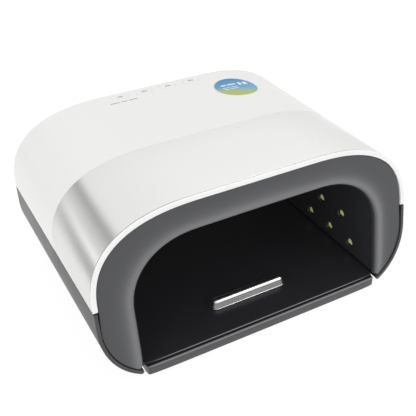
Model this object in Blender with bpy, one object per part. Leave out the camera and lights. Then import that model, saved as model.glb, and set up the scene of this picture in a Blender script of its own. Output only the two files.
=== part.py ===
# UV LED nail lamp: a white arched shell over a grey housing, with a metal band,
# a dark bezel round the hand opening, an LED chamber and a base tray that slides out.
# Driving dimensions are in millimetres. They are measured in the lamp's own frame, whose origin
# is the middle of the housing's front bottom edge, with +X right, +Y back and +Z up.
# An empty moves that frame so that the finished lamp stands centred on the world origin.

import math

import bmesh
import bpy
from mathutils import Vector

MM = 0.001
GAP = 0.3

# Housing
HALF_WIDTH = 114.0
BODY_HEIGHT = 108.6
DEPTH = 173.0
WALL = 2.3
SHELL_WALL = 3.1
FRONT_LEAN = math.radians(9.08)
TOP_CORNER = (76.9, 53.4, 2.57)
BOTTOM_CORNER = (38.0, 41.1, 2.0)
REAR_FILLET = 3.6
FRONT_CHAMFER = 0.5
SEAM_Z = 55.3
SEAM_GAP = 0.5
FOOT_HEIGHT = 1.5

# Metal band
BAND_RECESS = 0.9
BAND_THICKNESS = 0.5
BAND_FRONT = 1.2
BAND_REAR_TOP = 84.5
BAND_REAR_SEAM = 79.5

# Bezel and hand opening
OPENING_HALF_WIDTH = 89.0
OPENING_TOP = 87.2
OPENING_CORNER = (46.0, 40.0, 2.2)
BEZEL_PLATE = 2.6
BEZEL_RETURN = 6.0
BEZEL_SKIN = 1.8
BEZEL_NOSE = 2.0
BEZEL_DISH = 1.2
BEZEL_FOOT_ROUND = 3.0

# LED chamber
LINER_CLEARANCE = 0.5
LINER_WALL = 2.0
LINER_FOOT_Z = 8.3
CHAMBER_DEPTH = 150.0
REAR_WALL = 1.5
LED_PITCH = 24.3
LED_HOLE = 3.3
LED_CHIP = (3.5, 5.0, 1.1)
LED_BOARD = 1.6
SIDE_LED_LOW = (16.3, 32.8, 3)
SIDE_LED_HIGH = (34.5, 45.2, 2)
ROOF_LED_FRONT = 52.0

# Base tray
TRAY_HALF_WIDTH = 87.7
TRAY_BAY = 88.3
TRAY_REAR = 148.5
TRAY_BOTTOM = 0.3
TRAY_PLATE_TOP = 6.4
LIP_HEIGHT = 7.3
LIP_THICKNESS = 2.7
LIP_BOW = (87.2, 2.2, 6.0)
FLOOR_TOP = 8.0
FLOOR_HALF_WIDTH = 88.9
FLOOR_REAR = 149.7
TONGUE = (89.5, 2.6, 4.4)
FINGER_BAR = (29.0, 24.0, 33.0, 6.1)

# Housing rails and screw posts
RAIL_OUTER = 93.3
RAIL_FRONT = 10.0
RAIL_TOP = 6.4
CURB_FRONT = 149.0
CURB_REAR = 153.5
MOUTH_ROUND = 2.2
MAGNET_XS = (-50.0, 50.0)
POST_X = 99.6
POST_YS = (26.0, 150.0)
POST_RADIUS = 3.6
POST_TOP = 50.0

# Control board, keys and badge
BOARD_Z = 97.0
BOARD = (45.0, 126.0, 169.0, 1.6)
BOARD_SCREW_XS = (-41.0, 41.0)
BOARD_SCREW_YS = (130.0, 155.0)
KEY_Y = 163.3
KEY_PITCH = 19.4
KEY_SIZE = (12.8, 6.4)
KEY_PROUD = 0.3
KEY_NAMES = ("10s", "30s", "60s", "99s")
SWITCH = (6.0, 3.5)
BADGE_CENTRE = (54.0, 137.0)
BADGE_RADIUS = 16.5

# Rear of the housing
JACK = (0.0, 22.0)
VENT_X = 34.0
VENT_COUNT = 7
VENT_PITCH = 5.0

CORNER_NAMES = ("front_left", "rear_left", "front_right", "rear_right")
CORNER_STEPS = 11
BOTTOM_STEPS = 7


def clear_scene():
    for old in list(bpy.data.objects):
        bpy.data.objects.remove(old)


def make_frame():
    """The empty that stands the lamp's own frame on the ground, centred on the world origin."""
    frame = bpy.data.objects.new("lamp_frame", None)
    frame.location = (0.0, -DEPTH / 2 * MM, FOOT_HEIGHT * MM)
    bpy.context.scene.collection.objects.link(frame)
    return frame


def make_material(name, colour, roughness, metallic=0.0):
    material = bpy.data.materials.get(name)
    if material:
        return material
    material = bpy.data.materials.new(name)
    material.use_nodes = True
    shader = material.node_tree.nodes["Principled BSDF"]
    shader.inputs["Base Color"].default_value = (*colour, 1.0)
    shader.inputs["Roughness"].default_value = roughness
    shader.inputs["Metallic"].default_value = metallic
    return material


WHITE_PLASTIC = ("white_plastic", (0.86, 0.86, 0.85), 0.3)
STEEL_BAND = ("steel_band", (0.72, 0.73, 0.74), 0.3, 1.0)
BEZEL_GREY = ("bezel_grey", (0.1, 0.105, 0.11), 0.45)
HOUSING_GREY = ("housing_grey", (0.2, 0.2, 0.195), 0.5)
CHAMBER_BLACK = ("chamber_black", (0.015, 0.015, 0.017), 0.2)
BOARD_GREEN = ("board_green", (0.05, 0.25, 0.12), 0.5)
LED_YELLOW = ("led_yellow", (0.75, 0.8, 0.3), 0.3)
BLACK_PLASTIC = ("black_plastic", (0.03, 0.03, 0.03), 0.5)
POLISHED_BAR = ("polished_bar", (0.75, 0.75, 0.76), 0.12, 1.0)
SCREW_STEEL = ("screw_steel", (0.55, 0.55, 0.56), 0.35, 1.0)
RUBBER = ("rubber", (0.04, 0.04, 0.04), 0.8)
BADGE_BLUE = ("badge_blue", (0.03, 0.3, 0.62), 0.35)
COMPONENT = ("component", (0.12, 0.12, 0.13), 0.5)
LEAD_RED = ("lead_red", (0.5, 0.04, 0.03), 0.45)
MAGNET = ("magnet", (0.5, 0.5, 0.5), 0.3, 1.0)


def finish_object(obj, look, parent):
    if look:
        obj.data.materials.append(make_material(*look))
    obj.parent = parent
    return obj


def mesh_object(name, build, parent, look=None, smooth=True):
    """A new object whose mesh is whatever build(bm) makes in millimetres, closed and facing out."""
    bm = bmesh.new()
    build(bm)
    bmesh.ops.recalc_face_normals(bm, faces=bm.faces)
    bmesh.ops.scale(bm, vec=(MM, MM, MM), verts=bm.verts)
    mesh = bpy.data.meshes.new(name)
    bm.to_mesh(mesh)
    bm.free()
    if smooth:
        mesh.shade_smooth()
        mesh.set_sharp_from_angle(angle=math.radians(35))
    obj = bpy.data.objects.new(name, mesh)
    bpy.context.scene.collection.objects.link(obj)
    return finish_object(obj, look, parent)


def make_cutter(name, build, parent):
    cutter = mesh_object(name, build, parent, smooth=False)
    cutter.hide_render = True
    cutter.display_type = "WIRE"
    return cutter


def combine(obj, other, operation):
    modifier = obj.modifiers.new(other.name, "BOOLEAN")
    modifier.object = other
    modifier.operation = operation
    modifier.solver = "EXACT"


def cut(obj, name, build, parent):
    combine(obj, make_cutter("cut_" + name, build, parent), "DIFFERENCE")


def add(obj, name, build, parent):
    combine(obj, make_cutter("add_" + name, build, parent), "UNION")


def loft(bm, sections, ring=False):
    """Joins equal closed sections with quads. A ring joins its last to its first, without end caps."""
    rows = [[bm.verts.new(point) for point in section] for section in sections]
    pairs = list(zip(rows, rows[1:]))
    if ring:
        pairs.append((rows[-1], rows[0]))
    count = len(sections[0])
    for near, far in pairs:
        for index in range(count):
            after = (index + 1) % count
            bm.faces.new((near[index], near[after], far[after], far[index]))
    if not ring:
        bm.faces.new(rows[0])
        bm.faces.new(rows[-1])


def add_box(bm, low, high):
    plan = [(low[0], low[1]), (high[0], low[1]), (high[0], high[1]), (low[0], high[1])]
    loft(bm, [[(x, y, z) for x, y in plan] for z in (low[2], high[2])])


def box(low, high):
    return lambda bm: add_box(bm, low, high)


def boxes(pairs):
    def build(bm):
        for low, high in pairs:
            add_box(bm, low, high)

    return build


def add_cylinder(bm, centre, radius, start, end, axis="Z", sides=16):
    """A round bar along one axis. centre holds its two other coordinates, in X, Y, Z order."""
    along = "XYZ".index(axis)

    def place(first, second, third):
        point = [first, second]
        point.insert(along, third)
        return tuple(point)

    sections = []
    for level in (start, end):
        turns = [2 * math.pi * (step + 0.5) / sides for step in range(sides)]
        sections.append(
            [
                place(
                    centre[0] + radius * math.cos(turn),
                    centre[1] + radius * math.sin(turn),
                    level,
                )
                for turn in turns
            ]
        )
    loft(bm, sections)


def cylinders(centres, radius, start, end, axis="Z", sides=16):
    def build(bm):
        for centre in centres:
            add_cylinder(bm, centre, radius, start, end, axis, sides)

    return build


def corner_points(half_x, half_z, exponent, steps):
    """A quarter superellipse |x/a|^n + |z/b|^n = 1, from the +X end to the +Z end."""
    points = []
    for step in range(steps + 1):
        turn = math.pi / 2 * step / steps
        x = half_x * math.cos(turn) ** (2 / exponent) if step < steps else 0.0
        z = half_z * math.sin(turn) ** (2 / exponent)
        points.append((x, z))
    return points


def arch_outline(inset):
    """The housing's closed outline across, counter-clockwise, moved inward by inset."""
    low_x, low_z, low_exponent = BOTTOM_CORNER
    top_x, top_z, top_exponent = TOP_CORNER
    low = corner_points(low_x - inset, low_z - inset, low_exponent, BOTTOM_STEPS)
    top = corner_points(top_x - inset, top_z - inset, top_exponent, CORNER_STEPS)
    right = [(HALF_WIDTH - low_x + x, low_z - z) for x, z in reversed(low)]
    right += [(HALF_WIDTH - top_x + x, BODY_HEIGHT - top_z + z) for x, z in top]
    return right + [(-x, z) for x, z in reversed(right)]


def arch_bottom(x, inset):
    """Height of the housing's rounded bottom corner at x."""
    low_x, low_z, _ = BOTTOM_CORNER
    along = (abs(x) - (HALF_WIDTH - low_x)) / (low_x - inset)
    return low_z - (low_z - inset) * math.sqrt(1 - max(along, 0.0) ** 2)


def front_y(z):
    return z * math.tan(FRONT_LEAN)


def arch_section(inset, place_y):
    return [(x, place_y(z), z) for x, z in arch_outline(inset)]


def level_section(inset, y):
    return arch_section(inset, lambda z: y)


def front_section(inset, behind):
    return arch_section(inset, lambda z: front_y(z) + behind)


def rear_round(steps=3):
    """Outer sections round the rear edge, from the straight side to the flat rear face."""
    sections = []
    for step in range(steps + 1):
        turn = math.pi / 2 * step / steps
        inset = REAR_FILLET * (1 - math.cos(turn))
        y = DEPTH - REAR_FILLET * (1 - math.sin(turn))
        sections.append(level_section(inset, y))
    return sections


def build_arch_shell(wall):
    """The whole outer body: open at its leaned front, closed by the rear wall."""

    def build(bm):
        inside = [level_section(wall, DEPTH - wall), front_section(wall, 0.0)]
        outside = [front_section(FRONT_CHAMFER, 0.0), front_section(0.0, FRONT_CHAMFER)]
        loft(bm, inside + outside + rear_round())

    return build


def opening_path(grow, foot_z, straight_steps=1):
    """The hand opening's inverted U in x and z, from right to left foot, moved outward by grow."""
    half_x, half_z, exponent = OPENING_CORNER
    corner = corner_points(half_x + grow, half_z + grow, exponent, CORNER_STEPS)
    shoulder = OPENING_TOP - half_z
    right = []
    for step in range(straight_steps):
        along = step / straight_steps
        right.append((OPENING_HALF_WIDTH + grow, foot_z + (shoulder - foot_z) * along))
    right += [(OPENING_HALF_WIDTH - half_x + x, shoulder + z) for x, z in corner]
    return right + [(-x, z) for x, z in reversed(right)]


def tray_outline(inset, half_width, rear):
    """The tray's plan outline: a bowed front edge moved back by inset, then square rear corners."""
    half, set_back, exponent = LIP_BOW
    shape = corner_points(set_back, half, exponent, 10)
    right = [(x, set_back - y + inset) for y, x in shape]
    shoulder = set_back + inset + 2
    right.append((half_width, shoulder))
    front = [(-x, y) for x, y in reversed(right)] + right[1:]
    return front + [(half_width, rear), (-half_width, rear)]


def build_plate(outline, low, high):
    def build(bm):
        sections = [[(x, y, z) for x, y in outline] for z in (low, high)]
        loft(bm, sections)

    return build


def pill_outline(length, width, steps=6):
    """A rounded slot outline in x and y: two half circles joined by straight sides."""
    radius = width / 2
    reach = length / 2 - radius
    points = []
    for side in (1, -1):
        for step in range(steps + 1):
            turn = -math.pi / 2 + math.pi * step / steps
            x = side * (reach + radius * math.cos(turn))
            points.append((x, side * radius * math.sin(turn)))
    return points


def key_centres():
    return [KEY_PITCH * (index - 1.5) for index in range(len(KEY_NAMES))]


def band_rear(z):
    lean = (BAND_REAR_TOP - BAND_REAR_SEAM) / (BODY_HEIGHT - SEAM_Z)
    return BAND_REAR_SEAM + (z - SEAM_Z) * lean


def build_band_ring(low_inset, high_inset, front, rear):
    """An arch ring between two insets, from just behind the front rim to the band's rear edge."""

    def build(bm):
        low_front = front_section(low_inset, BAND_FRONT + front)
        low_rear = arch_section(low_inset, lambda z: band_rear(z) + rear)
        high_rear = arch_section(high_inset, lambda z: band_rear(z) + rear)
        high_front = front_section(high_inset, BAND_FRONT + front)
        loft(bm, [low_front, low_rear, high_rear, high_front], ring=True)

    return build


def below(z):
    return box((-200, -50, -50), (200, 250, z))


def above(z):
    return box((-200, -50, z), (200, 250, 200))


def post_centres():
    return [(side * POST_X, y) for side in (-1, 1) for y in POST_YS]


def board_screw_centres():
    return [(x, y) for x in BOARD_SCREW_XS for y in BOARD_SCREW_YS]


def make_top_shell(frame):
    shell = mesh_object("top_shell", build_arch_shell(SHELL_WALL), frame, WHITE_PLASTIC)
    cut(shell, "shell_seam", below(SEAM_Z), frame)
    cut(shell, "band_recess", build_band_ring(BAND_RECESS, -2.0, 0.0, 0.0), frame)
    bosses = cylinders(post_centres(), POST_RADIUS, POST_TOP + GAP, BODY_HEIGHT)
    add_inside_arch(shell, "shell_bosses", bosses, frame)
    bores = cylinders(post_centres(), 1.8, POST_TOP - 5, POST_TOP + 13, sides=10)
    cut(shell, "boss_bores", bores, frame)
    roof = BODY_HEIGHT - SHELL_WALL / 2
    board_top = BOARD_Z + BOARD[3] + GAP
    centres = board_screw_centres()
    add(shell, "board_posts", cylinders(centres, 2.6, board_top, roof, sides=10), frame)
    cut(shell, "board_post_bores", cylinders(centres, 1.3, board_top - 2, board_top + 5, sides=8), frame)

    def key_holes(bm):
        for centre in key_centres():
            outline = pill_outline(KEY_SIZE[0] + 2 * GAP, KEY_SIZE[1] + 2 * GAP)
            sections = [[(centre + x, KEY_Y + y, z) for x, y in outline] for z in (100, 112)]
            loft(bm, sections)

    cut(shell, "key_holes", key_holes, frame)
    badge_hole = cylinders([BADGE_CENTRE], BADGE_RADIUS + GAP, 100, 112, sides=40)
    pocket = make_cutter("cut_badge_pocket", badge_hole, frame)
    layer = make_cutter("badge_pocket_layer", build_arch_layer(0.6, -2.0), frame)
    combine(pocket, layer, "INTERSECT")
    combine(shell, pocket, "DIFFERENCE")


def build_arch_core(bm):
    """A solid that ends in the middle of the housing's wall."""
    loft(bm, [level_section(WALL / 2, 12), level_section(WALL / 2, DEPTH - 6)])


def add_inside_arch(obj, name, build, parent):
    """Joins a shape to obj after trimming it off in the middle of the housing's wall."""
    trimmed = make_cutter("add_" + name, build, parent)
    core = make_cutter("core_" + name, build_arch_core, parent)
    combine(trimmed, core, "INTERSECT")
    combine(obj, trimmed, "UNION")


def build_arch_layer(low_inset, high_inset):
    """The outer skin between two insets, over the middle of the body's depth."""

    def build(bm):
        sections = [
            level_section(low_inset, 100),
            level_section(low_inset, 168),
            level_section(high_inset, 168),
            level_section(high_inset, 100),
        ]
        loft(bm, sections, ring=True)

    return build


def make_badge(frame):
    disc = cylinders([BADGE_CENTRE], BADGE_RADIUS, 100, 112, sides=40)
    badge = mesh_object("round_badge", disc, frame, BADGE_BLUE)
    layer = make_cutter("badge_layer", build_arch_layer(0.25, -0.1), frame)
    combine(badge, layer, "INTERSECT")


def make_metal_band(frame):
    edge = 0.35
    outer = 0.02
    ring = build_band_ring(outer + BAND_THICKNESS, outer, edge, -edge)
    band = mesh_object("metal_band", ring, frame, STEEL_BAND)
    cut(band, "band_seam", below(SEAM_Z + 0.1), frame)


def make_bottom_housing(frame):
    housing = mesh_object("bottom_housing", build_arch_shell(WALL), frame, HOUSING_GREY)
    cut(housing, "housing_seam", above(SEAM_Z - SEAM_GAP), frame)
    cut(housing, "tray_bay", box((-TRAY_BAY, 5, -5), (TRAY_BAY, CURB_FRONT, 30)), frame)
    cut(housing, "tray_mouth", build_mouth, frame)
    for side, name in ((-1, "left"), (1, "right")):
        near, far = sorted((side * TRAY_BAY, side * RAIL_OUTER))
        rail = box((near, RAIL_FRONT, 0), (far, CURB_FRONT + 0.2, RAIL_TOP))
        add(housing, name + "_rail", rail, frame)
    curb = box((-RAIL_OUTER, CURB_FRONT, 0), (RAIL_OUTER, CURB_REAR, RAIL_TOP))
    add(housing, "rear_curb", curb, frame)
    groove_edge = TONGUE[0] + 0.7
    groove = box((-groove_edge, -5, TONGUE[1] - 0.4), (groove_edge, 147.5, TONGUE[2] + 0.4))
    cut(housing, "tray_groove", groove, frame)
    magnets = [((x - 5.3, 148, 1.2), (x + 5.3, 152.7, 5.8)) for x in MAGNET_XS]
    cut(housing, "magnet_pockets", boxes(magnets), frame)
    cut(housing, "foot_recesses", boxes(foot_boxes(GAP, 1.0, 2.0)), frame)
    centres = post_centres()
    add_inside_arch(housing, "screw_posts", cylinders(centres, POST_RADIUS, -20, POST_TOP), frame)
    cut(housing, "post_bores", cylinders(centres, 2.4, -5, POST_TOP - 4, sides=12), frame)
    cut(housing, "post_holes", cylinders(centres, 1.6, POST_TOP - 8, POST_TOP + 5, sides=10), frame)
    cut(housing, "jack_hole", cylinders([JACK], 5.6, DEPTH - 8, DEPTH + 5, "Y", 20), frame)
    vents = []
    for side in (-1, 1):
        for step in range(VENT_COUNT):
            x = side * (VENT_X + step * VENT_PITCH)
            vents.append(((x - 1, DEPTH - 8, 12), (x + 1, DEPTH + 5, 32)))
    cut(housing, "vents", boxes(vents), frame)


def build_mouth(bm):
    """The opening at the tray's front, whose lower corners round off the housing's two feet."""
    half = TRAY_BAY + 1.4
    centre_x = half + MOUTH_ROUND
    centre_z = arch_bottom(centre_x, 0.0) + MOUTH_ROUND
    right = [(half, 31.0)]
    for step in range(5):
        turn = math.pi + math.pi / 2 * step / 4
        x = centre_x + MOUTH_ROUND * math.cos(turn)
        right.append((x, centre_z + MOUTH_ROUND * math.sin(turn)))
    right.append((centre_x, -6.0))
    outline = right + [(-x, z) for x, z in reversed(right)]
    loft(bm, [[(x, y, z) for x, z in outline] for y in (-5, RAIL_FRONT)])


def foot_boxes(grow, depth, below_bottom):
    """Boxes for the strip feet in the rails, grown sideways, from below the rail up into it."""
    found = []
    for side in (-1, 1):
        for start in (22.0, 118.0):
            xs = sorted((side * (TRAY_BAY + 0.7 - grow), side * (RAIL_OUTER - 0.7 + grow)))
            found.append(((xs[0], start - grow, -below_bottom), (xs[1], start + 24 + grow, depth)))
    return found


def make_rubber_feet(frame):
    feet = foot_boxes(0.0, 0.7, FOOT_HEIGHT)
    for (low, high), place in zip(feet, CORNER_NAMES):
        mesh_object("rubber_foot_" + place, box(low, high), frame, RUBBER, smooth=False)


def bezel_outer_path(start_x):
    """The bezel's outer edge from its right foot over the top to its left foot."""
    low_x, low_z, _ = BOTTOM_CORNER
    half_x = low_x - WALL - GAP
    half_z = low_z - WALL - GAP
    start = math.asin((start_x - (HALF_WIDTH - low_x)) / half_x)
    right = []
    for step in range(BOTTOM_STEPS + 1):
        turn = start + (math.pi / 2 - start) * step / BOTTOM_STEPS
        right.append((HALF_WIDTH - low_x + half_x * math.sin(turn), low_z - half_z * math.cos(turn)))
    top_x, top_z, exponent = TOP_CORNER
    inset = SHELL_WALL + GAP
    corner = corner_points(top_x - inset, top_z - inset, exponent, CORNER_STEPS)
    right += [(HALF_WIDTH - top_x + x, BODY_HEIGHT - top_z + z) for x, z in corner]
    return right + [(-x, z) for x, z in reversed(right)]


def bezel_inner_path(grow, start_x):
    """The opening's edge with a rounded foot, with one point for each point of the outer edge."""
    radius = start_x - OPENING_HALF_WIDTH
    foot_z = arch_bottom(start_x, WALL + GAP) + 0.5
    right = []
    round_steps = BOTTOM_STEPS - 2
    for step in range(round_steps):
        turn = math.pi / 2 * step / (round_steps - 1)
        x = start_x - (radius - grow) * math.sin(turn)
        z = foot_z + radius - (radius - grow) * math.cos(turn)
        right.append((x, z))
    full = opening_path(grow, foot_z + radius, 4)
    half = full[1 : len(full) // 2]
    return right + half + [(-x, z) for x, z in reversed(right + half)]


def make_bezel(frame):
    start_x = OPENING_HALF_WIDTH + BEZEL_FOOT_ROUND
    outer = bezel_outer_path(start_x)
    inner = bezel_inner_path(0.0, start_x)
    nose = bezel_inner_path(BEZEL_NOSE, start_x)
    nose_mid = bezel_inner_path(BEZEL_NOSE * 0.3, start_x)
    skin = bezel_inner_path(BEZEL_SKIN, start_x)

    def point(at, behind):
        return (at[0], front_y(at[1]) + behind, at[1])

    def dished(index, share, depth):
        """A point of the dished face, at a share of the way from its outer edge to its nose."""
        start, end = outer[index], nose[index]
        across = math.dist(start, end)
        at = [a + (b - a) * share for a, b in zip(start, end)]
        return point(at, 0.35 + depth * min(across / 15, 1.0))

    sections = []
    for index in range(len(outer)):
        sections.append(
            [
                point(outer[index], 0.35),
                dished(index, 0.4, BEZEL_DISH * 0.8),
                dished(index, 0.75, BEZEL_DISH),
                point(nose[index], 0.2),
                point(nose_mid[index], 0.2 + BEZEL_NOSE * 0.3),
                point(inner[index], 0.2 + BEZEL_NOSE),
                point(inner[index], BEZEL_RETURN),
                point(skin[index], BEZEL_RETURN),
                point(skin[index], BEZEL_PLATE + 0.35),
                point(outer[index], BEZEL_PLATE + 0.35),
            ]
        )
    mesh_object("front_bezel", lambda bm: loft(bm, sections), frame, BEZEL_GREY)


def side_led_places():
    places = []
    for z, start, count in (SIDE_LED_LOW, SIDE_LED_HIGH):
        places += [(start + step * LED_PITCH, z) for step in range(count)]
    return places


def roof_led_places():
    xs = (-LED_PITCH, 0.0, LED_PITCH)
    return [(x, ROOF_LED_FRONT + row * LED_PITCH) for row in range(3) for x in xs]


def sensor_places():
    return [(-4.0, 30.0), (4.0, 30.0)]


def liner_outer():
    return OPENING_HALF_WIDTH + LINER_CLEARANCE + LINER_WALL


def liner_roof():
    return OPENING_TOP + LINER_CLEARANCE + LINER_WALL


def make_liner(frame):
    front_gap = BEZEL_RETURN + GAP
    inner = opening_path(LINER_CLEARANCE, LINER_FOOT_Z)
    outer = opening_path(LINER_CLEARANCE + LINER_WALL, LINER_FOOT_Z)
    sections = []
    for near, far in zip(inner, outer):
        sections.append(
            [
                (near[0], front_y(near[1]) + front_gap, near[1]),
                (near[0], CHAMBER_DEPTH, near[1]),
                (far[0], CHAMBER_DEPTH, far[1]),
                (far[0], front_y(far[1]) + front_gap, far[1]),
            ]
        )
    liner = mesh_object("chamber_liner", lambda bm: loft(bm, sections), frame, CHAMBER_BLACK)
    reach = liner_outer() + 3
    cut(liner, "side_led_holes", cylinders(side_led_places(), LED_HOLE, -reach, reach, "X", 12), frame)
    roof_holes = cylinders(roof_led_places(), LED_HOLE, 80, 100, "Z", 12)
    cut(liner, "roof_led_holes", roof_holes, frame)
    cut(liner, "sensor_holes", cylinders(sensor_places(), 1.9, 80, 100, "Z", 10), frame)


def make_chamber_rear_wall(frame):
    path = opening_path(LINER_CLEARANCE + LINER_WALL, LINER_FOOT_Z)
    start = CHAMBER_DEPTH + GAP

    def build(bm):
        sections = [[(x, y, z) for x, z in path] for y in (start, start + REAR_WALL)]
        loft(bm, sections)

    mesh_object("chamber_rear_wall", build, frame, CHAMBER_BLACK)


def pan_screw(centre, head_at, length, radius, head_radius, head_height, sides=10):
    """A pan-head screw as one turned body: its head hangs under head_at and its shank points up."""
    levels = [
        (head_at - head_height, head_radius * 0.8),
        (head_at - head_height * 0.7, head_radius),
        (head_at, head_radius),
        (head_at, radius),
        (head_at + length - radius, radius),
        (head_at + length, radius * 0.3),
    ]
    turns = [2 * math.pi * (step + 0.5) / sides for step in range(sides)]
    sections = []
    for level, reach in levels:
        ring = [(reach * math.cos(turn), reach * math.sin(turn)) for turn in turns]
        sections.append([(centre[0] + x, centre[1] + y, level) for x, y in ring])
    return lambda bm: loft(bm, sections)


def make_led_board(name, low, high, axis, places, direction, frame):
    """A circuit board with its LED chips, which look along direction through the chamber's holes."""
    board = mesh_object(name, box(low, high), frame, BOARD_GREEN, smooth=False)
    along = "XYZ".index(axis)
    face = low[along] if direction < 0 else high[along]
    width, length, height = LED_CHIP

    def chips(bm):
        for place in places:
            ends = sorted((face - direction * LED_BOARD / 2, face + direction * height))
            near = [place[0] - length / 2, place[1] - width / 2]
            far = [place[0] + length / 2, place[1] + width / 2]
            near.insert(along, ends[0])
            far.insert(along, ends[1])
            add_box(bm, near, far)

    add(board, name + "_chips", chips, frame)


def make_led_boards(frame):
    near = liner_outer() + GAP
    far = near + LED_BOARD
    places = side_led_places()
    make_led_board("right_led_board", (near, 26, 11), (far, 90, 41), "X", places, -1, frame)
    make_led_board("left_led_board", (-far, 26, 11), (-near, 90, 41), "X", places, 1, frame)
    low = liner_roof() + GAP
    high = low + LED_BOARD
    places = roof_led_places()
    make_led_board("roof_led_board", (-34, 42, low), (34, 112, high), "Z", places, -1, frame)


def make_housing_screws(frame):
    head_at = POST_TOP - 4 - GAP
    for centre, place in zip(post_centres(), CORNER_NAMES):
        screw = pan_screw(centre, head_at, 15.0, 1.3, 2.1, 2.0)
        mesh_object("housing_screw_" + place, screw, frame, SCREW_STEEL)


def make_control_board(frame):
    half, front, rear, thick = BOARD
    low = (-half, front, BOARD_Z)
    high = (half, rear, BOARD_Z + thick)
    board = mesh_object("control_board", box(low, high), frame, BOARD_GREEN, smooth=False)
    holes = cylinders(board_screw_centres(), 1.4, BOARD_Z - 2, BOARD_Z + 4, sides=8)
    cut(board, "control_board_holes", holes, frame)

    for centre, place in zip(board_screw_centres(), CORNER_NAMES):
        screw = pan_screw(centre, BOARD_Z - GAP, 6.0, 1.0, 2.0, 1.4)
        mesh_object("control_board_screw_" + place, screw, frame, SCREW_STEEL)
    top = BOARD_Z + thick + GAP

    capacitor = cylinders([(-24, 138)], 4.0, top, top + 5.5, sides=14)
    mesh_object("bulk_capacitor", capacitor, frame, COMPONENT)
    for x, place in ((-6.5, "left"), (8.5, "right")):
        inductor = box((x - 5.5, 132, top), (x + 5.5, 143, top + 4.5))
        mesh_object("driver_inductor_" + place, inductor, frame, COMPONENT, smooth=False)
    controller = box((20, 134, top), (29, 143, top + 1.6))
    mesh_object("microcontroller", controller, frame, BLACK_PLASTIC, smooth=False)


def make_keys(frame):
    """Each timer key has its own origin, on the axis that it is pressed along."""
    switch_half = SWITCH[0] / 2
    switch_low = BOARD_Z + BOARD[3] + GAP
    switch_top = switch_low + SWITCH[1]
    flange_top = BODY_HEIGHT - SHELL_WALL - GAP
    flange_low = flange_top - 0.9
    for centre, name in zip(key_centres(), KEY_NAMES):
        add_key(centre, name, flange_low, flange_top, frame)
        low = (centre - switch_half, KEY_Y - switch_half, switch_low)
        high = (centre + switch_half, KEY_Y + switch_half, switch_top)
        body = box(low, high)
        switch = mesh_object("tact_switch_" + name, body, frame, BLACK_PLASTIC, smooth=False)
        bore = cylinders([(centre, KEY_Y)], 1.9, switch_top - 1.9, switch_top + 2, sides=12)
        cut(switch, "switch_bore_" + name, bore, frame)
        stem = cylinders([(0, 0)], 1.5, switch_top - 0.9 - flange_low, -GAP, sides=12)
        plunger = mesh_object("switch_plunger_" + name, stem, frame, BLACK_PLASTIC)
        plunger.location = Vector((centre, KEY_Y, flange_low)) * MM


def add_key(centre, name, flange_low, flange_top, frame):
    top = BODY_HEIGHT + KEY_PROUD - flange_low

    def build(bm):
        flange = pill_outline(KEY_SIZE[0] + 2.2, KEY_SIZE[1] + 2.2)
        body = pill_outline(*KEY_SIZE)
        crown = pill_outline(KEY_SIZE[0] - 0.8, KEY_SIZE[1] - 0.8)
        levels = [
            (flange, 0.0),
            (flange, flange_top - flange_low),
            (body, flange_top - flange_low),
            (body, top - 0.4),
            (crown, top),
        ]
        loft(bm, [[(x, y, z) for x, y in outline] for outline, z in levels])

    key = mesh_object("timer_key_" + name, build, frame, WHITE_PLASTIC)
    key.location = Vector((centre, KEY_Y, flange_low)) * MM


def make_sensor(frame):
    low = liner_roof() + GAP
    board = box((-10, 25, low + 3.0), (10, 35, low + 4.2))
    mesh_object("hand_sensor_board", board, frame, BOARD_GREEN, smooth=False)
    for place, name in zip(sensor_places(), ("emitter", "receiver")):
        bulb = cylinders([place], 1.5, low - 2.2, low + 3.0 - GAP, sides=12)
        mesh_object("hand_sensor_" + name, bulb, frame, BLACK_PLASTIC)


def make_jack(frame):
    x, z = JACK
    mouth = DEPTH - 0.2

    def build(bm):
        levels = [
            (DEPTH - 14.0, 6.6),
            (DEPTH - WALL - GAP, 6.6),
            (DEPTH - WALL - GAP, 5.2),
            (mouth, 5.2),
            (mouth, 2.8),
            (DEPTH - 10.0, 2.8),
            (DEPTH - 10.0, 1.0),
            (mouth - 1.0, 1.0),
        ]
        sections = []
        for y, radius in levels:
            turns = [2 * math.pi * (step + 0.5) / 20 for step in range(20)]
            ring = [(radius * math.cos(turn), radius * math.sin(turn)) for turn in turns]
            sections.append([(x + across, y, z + up) for across, up in ring])
        loft(bm, sections)

    mesh_object("dc_jack", build, frame, BLACK_PLASTIC)


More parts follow.
